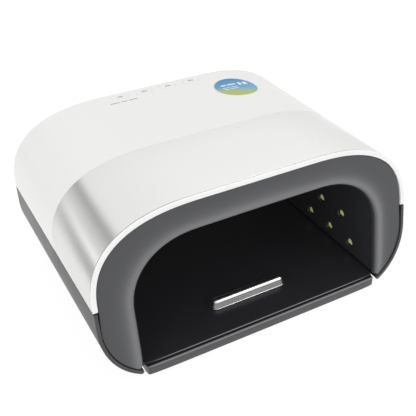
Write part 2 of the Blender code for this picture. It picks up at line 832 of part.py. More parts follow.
def make_tray(frame):
    """The base tray's pieces hang on an empty that lies on the tray's slide."""
    slide = bpy.data.objects.new("tray_slide", None)
    bpy.context.scene.collection.objects.link(slide)
    slide.parent = frame
    outline = tray_outline(0.0, TRAY_HALF_WIDTH, TRAY_REAR)
    whole = build_plate(outline, TRAY_BOTTOM, LIP_HEIGHT)
    tray = mesh_object("tray_frame", whole, slide, HOUSING_GREY)
    seat = tray_outline(LIP_THICKNESS, 95.0, TRAY_REAR + 10)
    cut(tray, "floor_seat", build_plate(seat, TRAY_PLATE_TOP, 20), slide)
    cut(tray, "tray_underside", box((-80, 14, -5), (80, 138, 3.0)), slide)
    tongue_x, tongue_low, tongue_high = TONGUE
    for side in (-1, 1):
        xs = sorted((side * (TRAY_HALF_WIDTH - 1.5), side * tongue_x))
        name = "tongue_left" if side < 0 else "tongue_right"
        add(tray, name, box((xs[0], 18, tongue_low), (xs[1], 146, tongue_high)), slide)
    magnets = [((x - 5.3, 144.6, 1.2), (x + 5.3, 152, 5.2)) for x in MAGNET_XS]
    cut(tray, "tray_magnet_pockets", boxes(magnets), slide)
    panel = tray_outline(LIP_THICKNESS + GAP, FLOOR_HALF_WIDTH, FLOOR_REAR)
    plate = build_plate(panel, TRAY_PLATE_TOP + GAP, FLOOR_TOP)
    mesh_object("tray_floor_panel", plate, slide, CHAMBER_BLACK)
    make_finger_bar(slide)
    for x, place in zip(MAGNET_XS, ("left", "right")):
        held = box((x - 5, 145, 1.5), (x + 5, 148.2, 4.9))
        mesh_object("tray_magnet_" + place, held, slide, MAGNET, smooth=False)
        holding = box((x - 5, 149.3, 1.5), (x + 5, 152.3, 5.5))
        mesh_object("housing_magnet_" + place, holding, frame, MAGNET, smooth=False)


def make_finger_bar(slide):
    """A polished bar with a domed top and round ends, on a thin flange on the tray's floor."""
    half, front, rear, height = FINGER_BAR
    middle = (front + rear) / 2
    reach = (rear - front) / 2
    base = FLOOR_TOP + GAP

    def build(bm):
        levels = [(0.0, 0.0), (0.6, 0.0), (0.9, 0.6)]
        for step in range(1, 6):
            turn = math.pi / 2 * step / 6
            level = 0.9 + (height - 0.9) * math.sin(turn)
            levels.append((level, 0.6 + (reach - 0.6) * (1 - math.cos(turn))))
        levels.append((height, reach - 0.3))
        sections = []
        for z, inset in levels:
            outline = pill_outline(2 * (half - inset), 2 * (reach - inset))
            sections.append([(x, middle + y, base + z) for x, y in outline])
        loft(bm, sections)

    mesh_object("finger_rest_bar", build, slide, POLISHED_BAR)


def make_lead(name, points, frame, radius=0.9):
    """A wire along a smooth curve through the points, as a tube with filled ends."""
    curve = bpy.data.curves.new(name, "CURVE")
    curve.dimensions = "3D"
    curve.bevel_depth = radius * MM
    curve.bevel_resolution = 1
    curve.use_fill_caps = True
    smooth = smooth_route([Vector(point) for point in points])
    spline = curve.splines.new("POLY")
    spline.points.add(len(smooth) - 1)
    for target, point in zip(spline.points, smooth):
        target.co = (*(point * MM), 1.0)
    lead = bpy.data.objects.new(name, curve)
    bpy.context.scene.collection.objects.link(lead)
    finish_object(lead, LEAD_RED, frame)


def smooth_route(points, steps=5):
    """Catmull-Rom points through a route, with its ends doubled."""
    padded = [points[0], *points, points[-1]]
    route = []
    for index in range(len(points) - 1):
        before, start, end, after = padded[index : index + 4]
        for step in range(steps):
            t = step / steps
            route.append(
                0.5
                * (
                    2 * start
                    + (end - before) * t
                    + (2 * before - 5 * start + 4 * end - after) * t**2
                    + (3 * start - before - 3 * end + after) * t**3
                )
            )
    return route + [points[-1]]


def make_leads(frame):
    board_top = BOARD_Z + BOARD[3] + 1.3
    for side, name in ((-1, "left"), (1, "right")):
        route = [
            (side * 95.2, 86, 36),
            (side * 97, 98, 50),
            (side * 95, 116, 68),
            (side * 82, 132, 88),
            (side * 56, 143, board_top + 0.5),
            (side * 40, 146, board_top),
        ]
        make_lead(name + "_led_lead", route, frame)
    roof_route = [
        (-30, 114, 91.7),
        (-34, 119, 97.5),
        (-36, 127, 103),
        (-34, 141, 101.8),
        (-33, 146, 100.2),
    ]
    make_lead("roof_led_lead", roof_route, frame)
    dc_route = [(0, 157.4, 22), (0, 157, 36), (2, 162, 56), (2, 164, 80), (0, 160, 95.4)]
    make_lead("dc_lead", dc_route, frame)
    sensor_route = [
        (10.8, 30, 93.9),
        (20, 40, 97),
        (24, 80, 99.5),
        (18, 115, 99.5),
        (14, 124.2, 98.5),
    ]
    make_lead("sensor_lead", sensor_route, frame)


def make_lamp():
    clear_scene()
    frame = make_frame()
    make_top_shell(frame)
    make_badge(frame)
    make_metal_band(frame)
    make_bottom_housing(frame)
    make_rubber_feet(frame)
    make_bezel(frame)
    make_liner(frame)
    make_chamber_rear_wall(frame)
    make_led_boards(frame)
    make_housing_screws(frame)
    make_control_board(frame)
    make_keys(frame)
    make_sensor(frame)
    make_jack(frame)
    make_tray(frame)
    make_leads(frame)


make_lamp()
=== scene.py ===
import math

import bmesh
import bpy
import numpy as np
from mathutils import Matrix, Vector


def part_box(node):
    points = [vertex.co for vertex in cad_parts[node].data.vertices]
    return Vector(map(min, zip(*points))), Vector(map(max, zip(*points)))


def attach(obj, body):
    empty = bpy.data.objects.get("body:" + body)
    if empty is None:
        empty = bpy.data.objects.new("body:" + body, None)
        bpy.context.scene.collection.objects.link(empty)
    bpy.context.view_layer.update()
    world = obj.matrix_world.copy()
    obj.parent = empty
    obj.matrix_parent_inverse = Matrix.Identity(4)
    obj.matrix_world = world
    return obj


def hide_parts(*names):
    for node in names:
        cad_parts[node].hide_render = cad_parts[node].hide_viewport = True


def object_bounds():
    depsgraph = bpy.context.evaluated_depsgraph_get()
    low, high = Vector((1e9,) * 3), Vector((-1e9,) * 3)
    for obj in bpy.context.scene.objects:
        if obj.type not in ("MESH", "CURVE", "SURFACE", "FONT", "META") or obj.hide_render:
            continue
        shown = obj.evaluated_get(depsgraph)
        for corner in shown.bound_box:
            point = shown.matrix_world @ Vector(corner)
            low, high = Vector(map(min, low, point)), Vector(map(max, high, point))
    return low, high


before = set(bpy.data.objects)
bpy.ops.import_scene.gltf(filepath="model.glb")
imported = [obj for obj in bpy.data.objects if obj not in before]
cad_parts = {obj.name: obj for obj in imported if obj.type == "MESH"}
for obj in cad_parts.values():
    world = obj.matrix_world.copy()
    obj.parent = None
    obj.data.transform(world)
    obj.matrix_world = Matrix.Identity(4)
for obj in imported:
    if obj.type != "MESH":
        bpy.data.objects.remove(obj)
cadLow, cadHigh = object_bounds()
print("frame loaded")

# Sizes below are in millimetres from the middle of the housing's front bottom edge.
mm = 0.001
lampOrigin = Vector((0, cadLow.y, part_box("bottom_housing")[0].z))
depth = (cadHigh.y - cadLow.y) / mm
halfWidth = cadHigh.x / mm
bodyTop = (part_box("top_shell")[1].z - lampOrigin.z) / mm
fourCorners = ("front_left", "rear_left", "front_right", "rear_right")
cut, add = "DIFFERENCE", "UNION"  # what a Boolean step does with its second solid

body = {
    "wall": 2.3,
    "shellWall": 3.1,
    "tip": 1.8,  # how far the shell's front draws back where it meets the seam
    "lean": math.tan(math.radians(9.08)),  # of the whole front
    "topCorner": (76.9, 53.4, 2.57),  # half axes and exponent of a superellipse
    "bottomCorner": (38.0, 41.1, 2.0),
    "rearFillet": 3.6,
    "seam": 55.3,
    "seamGap": 0.5,
}


def place(points):
    # from the lamp's own millimetres to the frame's metres
    return np.asarray(points, float) * mm + np.array(lampOrigin)


def addObject(name, data):
    obj = bpy.data.objects.new(name, data)
    bpy.context.scene.collection.objects.link(obj)
    return obj


def joinMesh(name, points, faces, slots=None, values=None):
    # slots holds a material number for each face, and values a named number for each point
    mesh = bpy.data.meshes.new(name)
    mesh.from_pydata(points.tolist(), [], faces)
    if slots is not None:
        mesh.polygons.foreach_set("material_index", slots)
    for word, numbers in (values or {}).items():
        mesh.attributes.new(word, "FLOAT", "POINT").data.foreach_set("value", numbers)
    bm = bmesh.new()
    bm.from_mesh(mesh)
    bmesh.ops.remove_doubles(bm, verts=bm.verts, dist=2e-6)
    bmesh.ops.dissolve_degenerate(bm, edges=bm.edges, dist=1e-7)
    bmesh.ops.recalc_face_normals(bm, faces=bm.faces)
    bm.to_mesh(mesh)
    bm.free()
    return addObject(name, mesh)


def gridFaces(rows, columns, start=0):
    # quads of a tube, closed along its columns; point (r, c) has the number start + r * columns + c
    r = np.arange(rows - 1)[:, None] * columns + start
    c = np.arange(columns)[None, :]
    after = (c + 1) % columns
    quads = (r + c, r + after, r + columns + after, r + columns + c)
    return np.stack(quads, axis=-1).reshape(-1, 4).tolist()


def sweep(name, *grids, slotOfColumn=None, values=None):
    # each grid holds closed sections, points[row, column], joined row to row, with flat end caps
    faces, start = [], 0
    for grid in grids:
        rows, columns = grid.shape[:2]
        end = start + rows * columns
        faces += gridFaces(rows, columns, start)
        faces += [list(range(start, start + columns)), list(range(end - columns, end))]
        start = end
    slots = None
    if slotOfColumn is not None:
        slots = np.concatenate([np.tile(slotOfColumn, rows - 1), [0, 0]]).astype(np.int32)
    points = np.concatenate([grid.reshape(-1, 3) for grid in grids])
    return joinMesh(name, place(points), faces, slots, values)


def finishPiece(piece, finish, node=None, rides="lamp_body", smooth=32):
    # smooth is the angle in degrees past which an edge stays sharp; node is the plain part it replaces
    if smooth:
        piece.data.shade_smooth()
        piece.data.set_sharp_from_angle(angle=math.radians(smooth))
    if finish:
        piece.data.materials.append(materials[finish])
    if node:
        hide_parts(node)
    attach(piece, rides)


def carve(obj, steps):
    # each step is (cut or add, object); the result is kept as the piece's own mesh
    for operation, other in steps:
        step = obj.modifiers.new("step", "BOOLEAN")
        step.object = other
        step.operation = operation
        step.solver = "EXACT"
    bpy.context.view_layer.update()
    graph = bpy.context.evaluated_depsgraph_get()
    mesh = bpy.data.meshes.new_from_object(obj.evaluated_get(graph))
    obj.modifiers.clear()
    old = obj.data
    obj.data = mesh
    bpy.data.meshes.remove(old)
    for _, other in steps:
        bpy.data.objects.remove(other)


def roundEdges(obj, width, segments=2):
    bevel = obj.modifiers.new("edges", "BEVEL")
    bevel.width = width * mm
    bevel.segments = segments
    bevel.limit_method = "ANGLE"
    bevel.angle_limit = math.radians(40)


def pill(length, width, count=40):
    # outline of a slot: two half circles, moved apart along x, walked by angle
    t = np.linspace(0, 2 * np.pi, count, endpoint=False) + np.pi / count
    reach = (length - width) / 2
    return np.stack([np.cos(t) * width / 2 + reach * np.sign(np.cos(t)), np.sin(t) * width / 2], axis=1)


def stack(outlines, levels, centre=(0, 0)):
    # closed outlines in x and y, one above another at the given heights
    rows = [np.column_stack([o + centre, np.full(len(o), z)]) for o, z in zip(outlines, levels)]
    return np.stack(rows)


def atDepth(line, y):
    # a line in x and z, put at one place along the depth or at one for each point
    return np.column_stack([line[:, 0], np.broadcast_to(y, len(line)), line[:, 1]])


def upright(outline, ys):
    return np.stack([atDepth(outline, y) for y in ys])


def block(low, high, name="block"):
    x, y, z = zip(low, high)
    plan = np.array([[x[0], y[0]], [x[1], y[0]], [x[1], y[1]], [x[0], y[1]]], float)
    return sweep(name, stack([plan, plan], z))


# where x, y and z stand in points made flat and then lifted along each axis
axisOrder = {"X": (2, 0, 1), "Y": (0, 2, 1), "Z": (0, 1, 2)}


def rod(centre, radius, start, end, axis="Z", sides=32, flare=0.0):
    # a round bar along one axis, opened out by flare at its end
    ring = circle(sides)
    levels = [(start, radius), (end, radius + flare)]
    if flare:
        levels.insert(1, (end - np.sign(end - start) * flare, radius))
    rows = [np.column_stack([ring * reach + centre, np.full(sides, level)]) for level, reach in levels]
    return sweep("rod", np.stack(rows)[..., axisOrder[axis]])


def lampBox(node):
    # a plain part's low and high corners in the lamp's millimetres
    return [(np.array(corner) - np.array(lampOrigin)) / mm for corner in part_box(node)]


def middle(node):
    low, high = lampBox(node)
    return (low + high) / 2


def quarterRound(radius, count):
    # pairs r (1 - sin t) and r (1 - cos t), with t from 0 to a right angle
    t = np.linspace(0, np.pi / 2, count)
    return list(zip(radius * (1 - np.sin(t)), radius * (1 - np.cos(t))))


def circle(count):
    # unit circle's points
    t = np.linspace(0, 2 * np.pi, count, endpoint=False)
    return np.stack([np.cos(t), np.sin(t)], axis=1)


def superCorner(halfX, halfZ, exponent, count=900):
    # quarter superellipse: x = a cos(t)^(2/n), z = b sin(t)^(2/n)
    t = np.linspace(0, np.pi / 2, count)
    x = halfX * np.clip(np.cos(t), 0, 1) ** (2 / exponent)
    z = halfZ * np.clip(np.sin(t), 0, 1) ** (2 / exponent)
    return np.stack([x, z], axis=1)


def upperCorner(shape, side, top):
    return superCorner(*shape) + [side - shape[0], top - shape[1]]


def bottomCorner(count):
    halfX, halfZ, exponent = body["bottomCorner"]
    return superCorner(halfX, halfZ, exponent, count) * [1, -1] + [halfWidth - halfX, halfZ]


def evenly(points, count, ends=()):
    # the same line with equal steps along its length, and finer ones at given distances from its ends
    steps = np.hypot(*np.diff(points, axis=0).T)
    points = points[np.concatenate([[True], steps > 1e-9])]
    length = np.concatenate([[0], np.cumsum(np.hypot(*np.diff(points, axis=0).T))])
    fine = np.asarray(ends, float)
    at = np.unique(np.concatenate([np.linspace(0, length[-1], count), fine, length[-1] - fine]).round(6))
    return np.stack([np.interp(at, length, points[:, 0]), np.interp(at, length, points[:, 1])], axis=1)


def unit(vectors):
    return vectors / np.hypot(*vectors.T)[:, None]


def outward(points):
    # unit normals to the right of a line's direction of travel
    along = unit(np.gradient(points, axis=0))
    return np.stack([along[:, 1], -along[:, 0]], axis=1)


def mirrorPath(right):
    return np.concatenate([right, right[::-1][1:] * [-1, 1]])


def shellArch(count=181):
    # the lamp's outer line from the right seam over the top to the left seam
    corner = upperCorner(body["topCorner"], halfWidth, bodyTop)
    start = [[halfWidth, body["seam"]]]
    right = np.concatenate([start, corner[corner[:, 1] > body["seam"] + 0.2], [[0, bodyTop]]])
    path = evenly(mirrorPath(right), count, np.linspace(0, body["tip"], 7))
    normals = outward(path)
    normals[path[:, 1] < body["seam"] + body["tip"] + 0.1, 1] = 0
    return path, unit(normals)


def housingArch(count=161):
    # the housing's outer line from the left seam under the bottom to the right seam
    start = [[halfWidth, body["seam"] - body["seamGap"]]]
    right = np.concatenate([start, bottomCorner(600), [[0, 0]]])
    path = evenly(mirrorPath(right), count)[::-1]
    normals = outward(path)
    normals[0], normals[-1] = [-1, 0], [1, 0]
    return path, normals


def loftShell(path, normals, profile, poleZ, tip=0.0):
    # A row of the profile holds inset, share of the leaned front, share of the band's rear line,
    # offset along Y, and how far the section has shrunk to the pole at the middle of the rear:
    # P(u, v) = pole + s (C(u) - inset N(u) - pole), with y = a front(z) + b bandRear(z) + c.
    inset, front, rearLine, offset, shrink = np.asarray(profile, float).T
    edge = path[:, None, :] - inset[None, :, None] * normals[:, None, :]
    y = front * edge[..., 1] * body["lean"] + rearLine * bandRear(edge[..., 1]) + offset
    if tip:
        # the front draws back round a quarter circle as the path nears its ends
        short = np.clip(tip - (path[:, 1] - path[0, 1]), 0, tip)
        y += front * (tip - np.sqrt(tip**2 - short**2))[:, None]
    x = edge[..., 0] * shrink
    z = poleZ + (edge[..., 1] - poleZ) * shrink
    return np.stack([x, y, z], axis=-1)


def bandRear(z):
    lean = (band["rearTop"] - band["rearSeam"]) / (bodyTop - body["seam"])
    return band["rearSeam"] + (z - body["seam"]) * lean


def rearRows():
    # rows round the rear edge and across the rear face to its pole
    fillet = body["rearFillet"]
    rows = [[b, 0, 0, depth - a, 1] for a, b in quarterRound(fillet, 8)]
    return rows + [[fillet, 0, 0, depth, s] for s in (0.96, 0.8, 0.5, 0.0)]


def innerRows(wall):
    return [[wall, 0, 0, depth - wall, s] for s in (0.0, 0.5, 0.96, 1.0)]


def feed(tree, node, inputs):
    # each input takes a number, a colour of three numbers, or another node's output
    for name, value in inputs.items():
        socket = node.inputs[name]
        if isinstance(value, bpy.types.NodeSocket):
            tree.links.new(value, socket)
        else:
            socket.default_value = (*value, 1) if socket.type == "RGBA" else value


def addNode(tree, kind, inputs=None, **settings):
    node = tree.nodes.new("ShaderNode" + kind)
    for name, value in settings.items():
        setattr(node, name, value)
    feed(tree, node, inputs or {})
    return node


def newMaterial(name):
    material = bpy.data.materials.new(name)
    material.use_nodes = True
    return material, material.node_tree, material.node_tree.nodes["Principled BSDF"]


def objectPlace(tree):
    return addNode(tree, "TexCoord").outputs["Object"]


def noiseOn(tree, scale, detail, stretch=(1, 1, 1)):
    where = addNode(tree, "Mapping", {"Vector": objectPlace(tree), "Scale": stretch})
    noise = addNode(tree, "TexNoise", {"Vector": where.outputs["Vector"], "Scale": scale, "Detail": detail})
    return noise.outputs["Fac"]


def ramp(tree, value, start, end, low=0.0, high=1.0):
    # goes from low to high as the value goes from start to end, and stays level outside them
    ends = {"From Min": start, "From Max": end, "To Min": low, "To Max": high}
    return addNode(tree, "MapRange", {"Value": value, **ends}).outputs["Result"]


def spread(tree, noise, low, high):
    return ramp(tree, noise, 0.3, 0.7, low, high)


def blend(tree, share, first, second):
    mix = addNode(tree, "Mix", {"Factor": share, "A": first, "B": second}, data_type="RGBA")
    return mix.outputs["Result"]


def combine(tree, operation, *values):
    return addNode(tree, "Math", dict(enumerate(values)), operation=operation).outputs["Value"]


def bumps(tree, height, strength, size):
    bump = addNode(tree, "Bump", {"Height": height, "Strength": strength, "Distance": size})
    return bump.outputs["Normal"]


def moulded(name, look):
    # moulded plastic or plain metal: a faint mottle in colour and gloss, over a fine even grain
    colour, roughness, grainScale, grain, mottle, settings = look
    material, tree, shader = newMaterial(name)
    cloud = noiseOn(tree, 38, 4)
    dark = [c * (1 - mottle) for c in colour]
    light = [min(1, c * (1 + mottle)) for c in colour]
    feed(tree, shader, {
        "Base Color": blend(tree, cloud, dark, light),
        "Roughness": spread(tree, cloud, *roughness),
        "Normal": bumps(tree, noiseOn(tree, grainScale, 2), grain, 0.0001),
        "Coat Roughness": 0.12,
        "Emission Color": (1, 1, 1),
        **settings,
    })
    return material


# colour, range of roughness, scale and strength of the grain, mottle, and further shader settings
looks = {
    "shellWhite": ((0.735, 0.74, 0.72), (0.34, 0.4), 2600, 0.012, 0.005, {"Specular IOR Level": 0.3}),
    # the rim's white: a paler, glossier copy of the shell's white on the same moulding, painted light on the
    # front rim
    "rimLitWhite": ((0.83, 0.835, 0.82), (0.25, 0.3), 2600, 0.02, 0.004, {"Coat Weight": 0.2}),
    "bezelGrey": ((0.05, 0.051, 0.057), (0.32, 0.38), 2200, 0.16, 0.03, {}),
    "housingGrey": ((0.046, 0.046, 0.046), (0.36, 0.43), 2200, 0.18, 0.03, {}),
    # the chamber's black glows faintly in white, painted light
    "chamberBlack": ((0.03, 0.031, 0.036), (0.26, 0.34), 1500, 0.03, 0.1, {"Emission Strength": 0.002}),
    # the chamber's rear wall: a paler copy of the chamber's black, painted light where little light reaches
    "chamberBackPaintedLight": ((0.12, 0.12, 0.125), (0.3, 0.38), 1500, 0.03, 0.06, {}),
    # the floor panel's black glows faintly in white, painted light
    "floorBlack": ((0.014, 0.014, 0.018), (0.3, 0.36), 1500, 0.01, 0.1, {"Emission Strength": 0.0033}),
    "barSteel": ((0.82, 0.82, 0.81), (0.19, 0.25), 900, 0.03, 0.01, {"Metallic": 1}),
    "screwSteel": ((0.6, 0.6, 0.6), (0.25, 0.35), 900, 0.1, 0.04, {"Metallic": 1}),
    "magnetNickel": ((0.62, 0.6, 0.56), (0.2, 0.3), 900, 0.05, 0.03, {"Metallic": 1}),
    # dark brown on the band's bed and the drop to it, painted shade in the gap in front of the band
    "bedPaintedShade": ((0.09, 0.075, 0.06), (0.6, 0.7), 1400, 0.1, 0.08, {}),
    "footRubber": ((0.02, 0.02, 0.02), (0.75, 0.85), 1800, 0.3, 0.1, {}),
    "blackPlastic": ((0.02, 0.02, 0.021), (0.35, 0.45), 1800, 0.1, 0.05, {}),
    "potted": ((0.09, 0.09, 0.1), (0.4, 0.5), 1400, 0.2, 0.08, {}),
    "wireRed": ((0.45, 0.03, 0.025), (0.35, 0.45), 1400, 0.05, 0.05, {}),
}


topShell = {
    "frontDepth": 6.0,  # from the front edge to the first full inner section
    "innerEdge": 0.4,
    "frontRound": 0.6,
    "bedEdge": 0.15,  # rounding of the drop to the band's bed
    "bedRear": 0.5,
}


def topShellProfile():
    s, wall, near = topShell, body["shellWall"], band["front"]
    inner, rear = innerRows(wall), rearRows()
    front = [
        [wall, 1, 0, s["frontDepth"], 1], [wall, 1, 0, s["innerEdge"], 1],
        [wall - 0.3 * s["innerEdge"], 1, 0, 0.3 * s["innerEdge"], 1], [wall - s["innerEdge"], 1, 0, 0, 1],
    ]
    edge = [[a, 1, 0, b, 1] for a, b in quarterRound(s["frontRound"], 6)]
    into = [[0, 1, 0, near - s["bedEdge"], 1], [s["bedEdge"], 1, 0, near, 1]]
    bed = [[band["recess"], 1, 0, near, 1], [band["recess"], 0, 1, 0, 1]]
    out = [[s["bedEdge"], 0, 1, 0, 1], [0, 0, 1, s["bedEdge"], 1], [0, 0, 1, s["bedRear"], 1]]
    # shell 0, rim 1 in the shell's white painted paler as light, band's bed 2 in dark brown as painted shade,
    # each over the step to the next row
    slots = [0] * len(inner) + [1] * (len(front) + len(edge) + 1) + [2] * 2 + [0] * (1 + len(out) + len(rear))
    return inner + front + edge + into + bed + out + rear, slots


def makeTopShell():
    # the profile carried along the arch: the inside from its pole to the front edge, then back over
    # the rim, the band's bed and the outside to the rear pole; see loftShell
    path, normals = shellArch()
    profile, slots = topShellProfile()
    points = loftShell(path, normals, profile, body["seam"], body["tip"])
    shell = sweep("topShell", points, slotOfColumn=slots)
    holes = []
    for name in keys["names"]:
        centre = middle("timer_key_" + name)[:2]
        length, width = [side + 2 * keys["gap"] for side in keys["size"]]
        chamfer = keys["holeChamfer"]
        hole, mouth = pill(length, width), pill(length + 2 * chamfer, width + 2 * chamfer)
        levels = (keys["holeLow"], bodyTop - chamfer, bodyTop)
        holes.append((cut, sweep("hole", stack([hole, hole, mouth], levels, centre))))
        levels = (bodyTop - 0.001, keys["holeHigh"])
        holes.append((cut, sweep("holeTop", stack([mouth, mouth], levels, centre))))
    holes.append((cut, badgeSolid("badgePocket", 0.3, 0.55, 1.5, 0.0)))
    for finish in ("shellWhite", "rimLitWhite", "bedPaintedShade"):
        shell.data.materials.append(materials[finish])
    carve(shell, holes)
    finishPiece(shell, None, "top_shell")


badge = {
    "rim": 0.5,
    "crown": 0.12,
    "blue": (0.03, 0.19, 0.4),
    "blueLight": (0.11, 0.34, 0.54),
    "skyRamp": (-0.3, 0.9),
    "green": (0.38, 0.42, 0.09),
    "hillSlope": 0.4,
    "hillRamp": (-0.65, -0.1),
    "pale": (0.75, 0.8, 0.8),
    "edge": 0.985,
    "white": (0.9, 0.93, 0.95),
    "ink": 0.7,
    "strokes": [  # left, right, low and high of each plain stroke, as shares of the radius
        (-0.62, -0.36, 0.24, 0.36), (-0.3, 0.12, 0.24, 0.36), (0.26, 0.4, 0.12, 0.4),
        (0.5, 0.7, 0.12, 0.4), (-0.68, -0.3, 0.0, 0.05), (-0.24, 0.1, 0.0, 0.05),
        (-0.66, -0.42, -0.17, -0.12), (-0.36, 0.06, -0.17, -0.12),
    ],
}


def surfaceHeight(x):
    # height of the outer arch over x, from its fine line
    path, _ = shellArch(721)
    order = np.argsort(path[:, 0])
    return np.interp(x, path[order, 0], path[order, 1])


def badgeSolid(name, grow, low, top, crown, rings=14, around=72):
    # a disc laid on the arch: P(r, a) = centre + r (cos a, sin a), from low under the arch's height
    # to top over it, with a rounded rim of the crown's height
    centre = middle("round_badge")
    boxLow, boxHigh = lampBox("round_badge")
    radius = (boxHigh[0] - boxLow[0]) / 2 + grow
    a = np.linspace(0, 2 * np.pi, around, endpoint=False)
    r = np.linspace(0, radius, rings)[:, None]
    x = centre[0] + r * np.cos(a)
    y = centre[1] + r * np.sin(a)
    z = surfaceHeight(x)
    edge = np.clip((radius - r) / badge["rim"], 0, 1)
    upper = np.stack([x, y, z + top + crown * (1 - (1 - edge) ** 2)], axis=-1)
    under = np.stack([x, y, z - low], axis=-1)
    points = np.concatenate([under, upper[::-1]])
    return joinMesh(name, place(points.reshape(-1, 3)), gridFaces(2 * rings, around))


def badgeMaterial():
    # blue over a yellow-green hill, with a pale edge and plain white strokes, by place on the disc
    material, tree, shader = newMaterial("badgePrint")
    low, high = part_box("round_badge")
    centre, scale = (low + high) / 2, 2 / (high.x - low.x)
    where = addNode(tree, "Mapping", {
        "Vector": objectPlace(tree),
        "Scale": (scale, scale, scale),
        "Location": (-centre.x * scale, -centre.y * scale, 0),
    })
    split = addNode(tree, "SeparateXYZ", {"Vector": where.outputs["Vector"]}).outputs
    x, y = split["X"], split["Y"]

    def times(first, second):
        return combine(tree, "MULTIPLY", first, second)

    def between(value, low, high):
        return times(combine(tree, "GREATER_THAN", value, low), combine(tree, "LESS_THAN", value, high))

    sky = blend(tree, ramp(tree, y, *badge["skyRamp"]), badge["blueLight"], badge["blue"])
    hill = combine(tree, "ADD", y, times(x, badge["hillSlope"]))
    ground = blend(tree, ramp(tree, hill, *badge["hillRamp"]), badge["green"], sky)
    strokes = None
    for left, right, low, high in badge["strokes"]:
        one = times(between(x, left, right), between(y, low, high))
        strokes = one if strokes is None else combine(tree, "MAXIMUM", strokes, one)
    printed = blend(tree, times(strokes, badge["ink"]), ground, badge["white"])
    far = combine(tree, "SQRT", combine(tree, "ADD", times(x, x), times(y, y)))
    edge = combine(tree, "GREATER_THAN", far, badge["edge"])
    feed(tree, shader, {
        "Base Color": blend(tree, edge, printed, badge["pale"]),
        "Roughness": spread(tree, noiseOn(tree, 500, 2), 0.35, 0.43),
        "Specular IOR Level": 0.3,
    })
    return material


def makeBadge():
    disc = badgeSolid("roundBadge", 0.0, 0.25, 0.1 - badge["crown"], badge["crown"])
    finishPiece(disc, "badgePrint", "round_badge", smooth=50)


band = {
    "recess": 0.9,
    "thickness": 0.5,
    "inset": 0.02,
    "front": 1.2,
    "rearTop": 84.5,
    "rearSeam": 79.5,
    "gap": 0.45,
    "rearGap": 0.15,
    "endGap": 0.15,
    "roll": 0.16,
    "dark": (0.78, 0.78, 0.77),
    "light": (0.82, 0.82, 0.81),
    "roughness": (0.25, 0.28),
    "stretch": 0.95,
    "brush": 0.03,
}


def brushedBand():
    # steel brushed round the arch: fine lines in colour and height, and a gloss spread front to back
    material, tree, shader = newMaterial("bandSteel")
    streaks = noiseOn(tree, 1500, 2, (0.012, 1, 0.012))
    veil = noiseOn(tree, 22, 3, (0.4, 1, 0.4))
    around = addNode(tree, "Tangent", direction_type="RADIAL", axis="Y")
    feed(tree, shader, {
        "Base Color": blend(tree, streaks, band["dark"], band["light"]),
        "Roughness": spread(tree, veil, *band["roughness"]),
        "Normal": bumps(tree, streaks, band["brush"], 0.00005),
        "Metallic": 1,
        "Anisotropic": band["stretch"],
        "Anisotropic Rotation": 0.25,
        "Tangent": around.outputs["Tangent"],
    })
    return material


def makeBand():
    # an arch strip set into the recess, with its long edges rolled over by quarter circles
    path, normals = shellArch()
    path[[0, -1], 1] += band["endGap"]
    inset, roll = band["inset"], band["roll"]
    low = inset + band["thickness"]
    front, rear = band["front"] + band["gap"], -band["rearGap"]
    frontEdge = [[inset + a, 1, 0, front + b, 1] for a, b in quarterRound(roll, 4)]
    rearEdge = [[inset + b, 0, 1, rear - a, 1] for a, b in quarterRound(roll, 4)]
    profile = [[low, 1, 0, front, 1]] + frontEdge + rearEdge + [[low, 0, 1, rear, 1]]
    strip = sweep("metalBand", loftShell(path, normals, profile, body["seam"], body["tip"]))
    finishPiece(strip, "bandSteel", "metal_band")


keys = {
    "names": ("10s", "30s", "60s", "99s"),
    "size": (12.8, 6.4),
    "flange": (2.2, 0.9),  # extra width under the shell, and thickness
    "crown": 0.35,
    "rise": 0.08,
    "gap": 0.08,
    "holeChamfer": 0.15,
    "holeLow": 100.0,
    "holeHigh": 114.0,
    "markHeight": 2.3,
    "markWeight": 0.06,
    "ink": (0.16, 0.16, 0.17),
}


def makeKey(name):
    # slot outlines stacked from the flange up, drawn in round the crown by c (1 - cos t) at the
    # height c sin t, to a small flat on top
    low, high = lampBox("timer_key_" + name)
    centre = middle("timer_key_" + name)[:2]
    base, top = low[2], high[2]
    length, width = keys["size"]
    grow, thick = keys["flange"]
    flange = pill(length + grow, width + grow)
    outlines = [flange, flange, pill(length, width)]
    levels = [base, base + thick, base + thick]
    for a, b in quarterRound(keys["crown"], 7):
        outlines.append(pill(length - 4 * b, width - 4 * b))
        levels.append(top - keys["rise"] - a)
    outlines.append(pill(length * 0.5, width * 0.3))
    levels.append(top)
    key = sweep("timerKey_" + name, stack(outlines, levels, centre))
    finishPiece(key, "shellWhite", "timer_key_" + name, "key_" + name)
    makeMark(name, (centre[0], centre[1] - 0.1, top + 0.004))


def makeMark(name, centre):
    # the key's number, as flat raised ink
    text = bpy.data.curves.new("keyMark_" + name, "FONT")
    text.body = name
    text.size = keys["markHeight"] * 1.4 * mm
    text.align_x = "CENTER"
    text.align_y = "CENTER"
    text.extrude = 0.00002
    text.offset = keys["markWeight"] * mm
    text.resolution_u = 3
    holder = addObject("keyText_" + name, text)
    bpy.context.view_layer.update()
    mesh = bpy.data.meshes.new_from_object(holder.evaluated_get(bpy.context.evaluated_depsgraph_get()))
    bpy.data.objects.remove(holder)
    mesh.transform(Matrix.Translation(Vector(centre) * mm + lampOrigin))
    mark = addObject("keyMark_" + name, mesh)
    mark.data.materials.clear()
    finishPiece(mark, "ink", rides="key_" + name, smooth=None)


deckPrint = {
    "strokes": ((-40.0, -32.5), (-31.3, -26.6), (-25.6, -18.5)),
    "y": 155.0,
    "width": 0.9,
    "rise": 0.012,
    "thickness": 0.04,
}


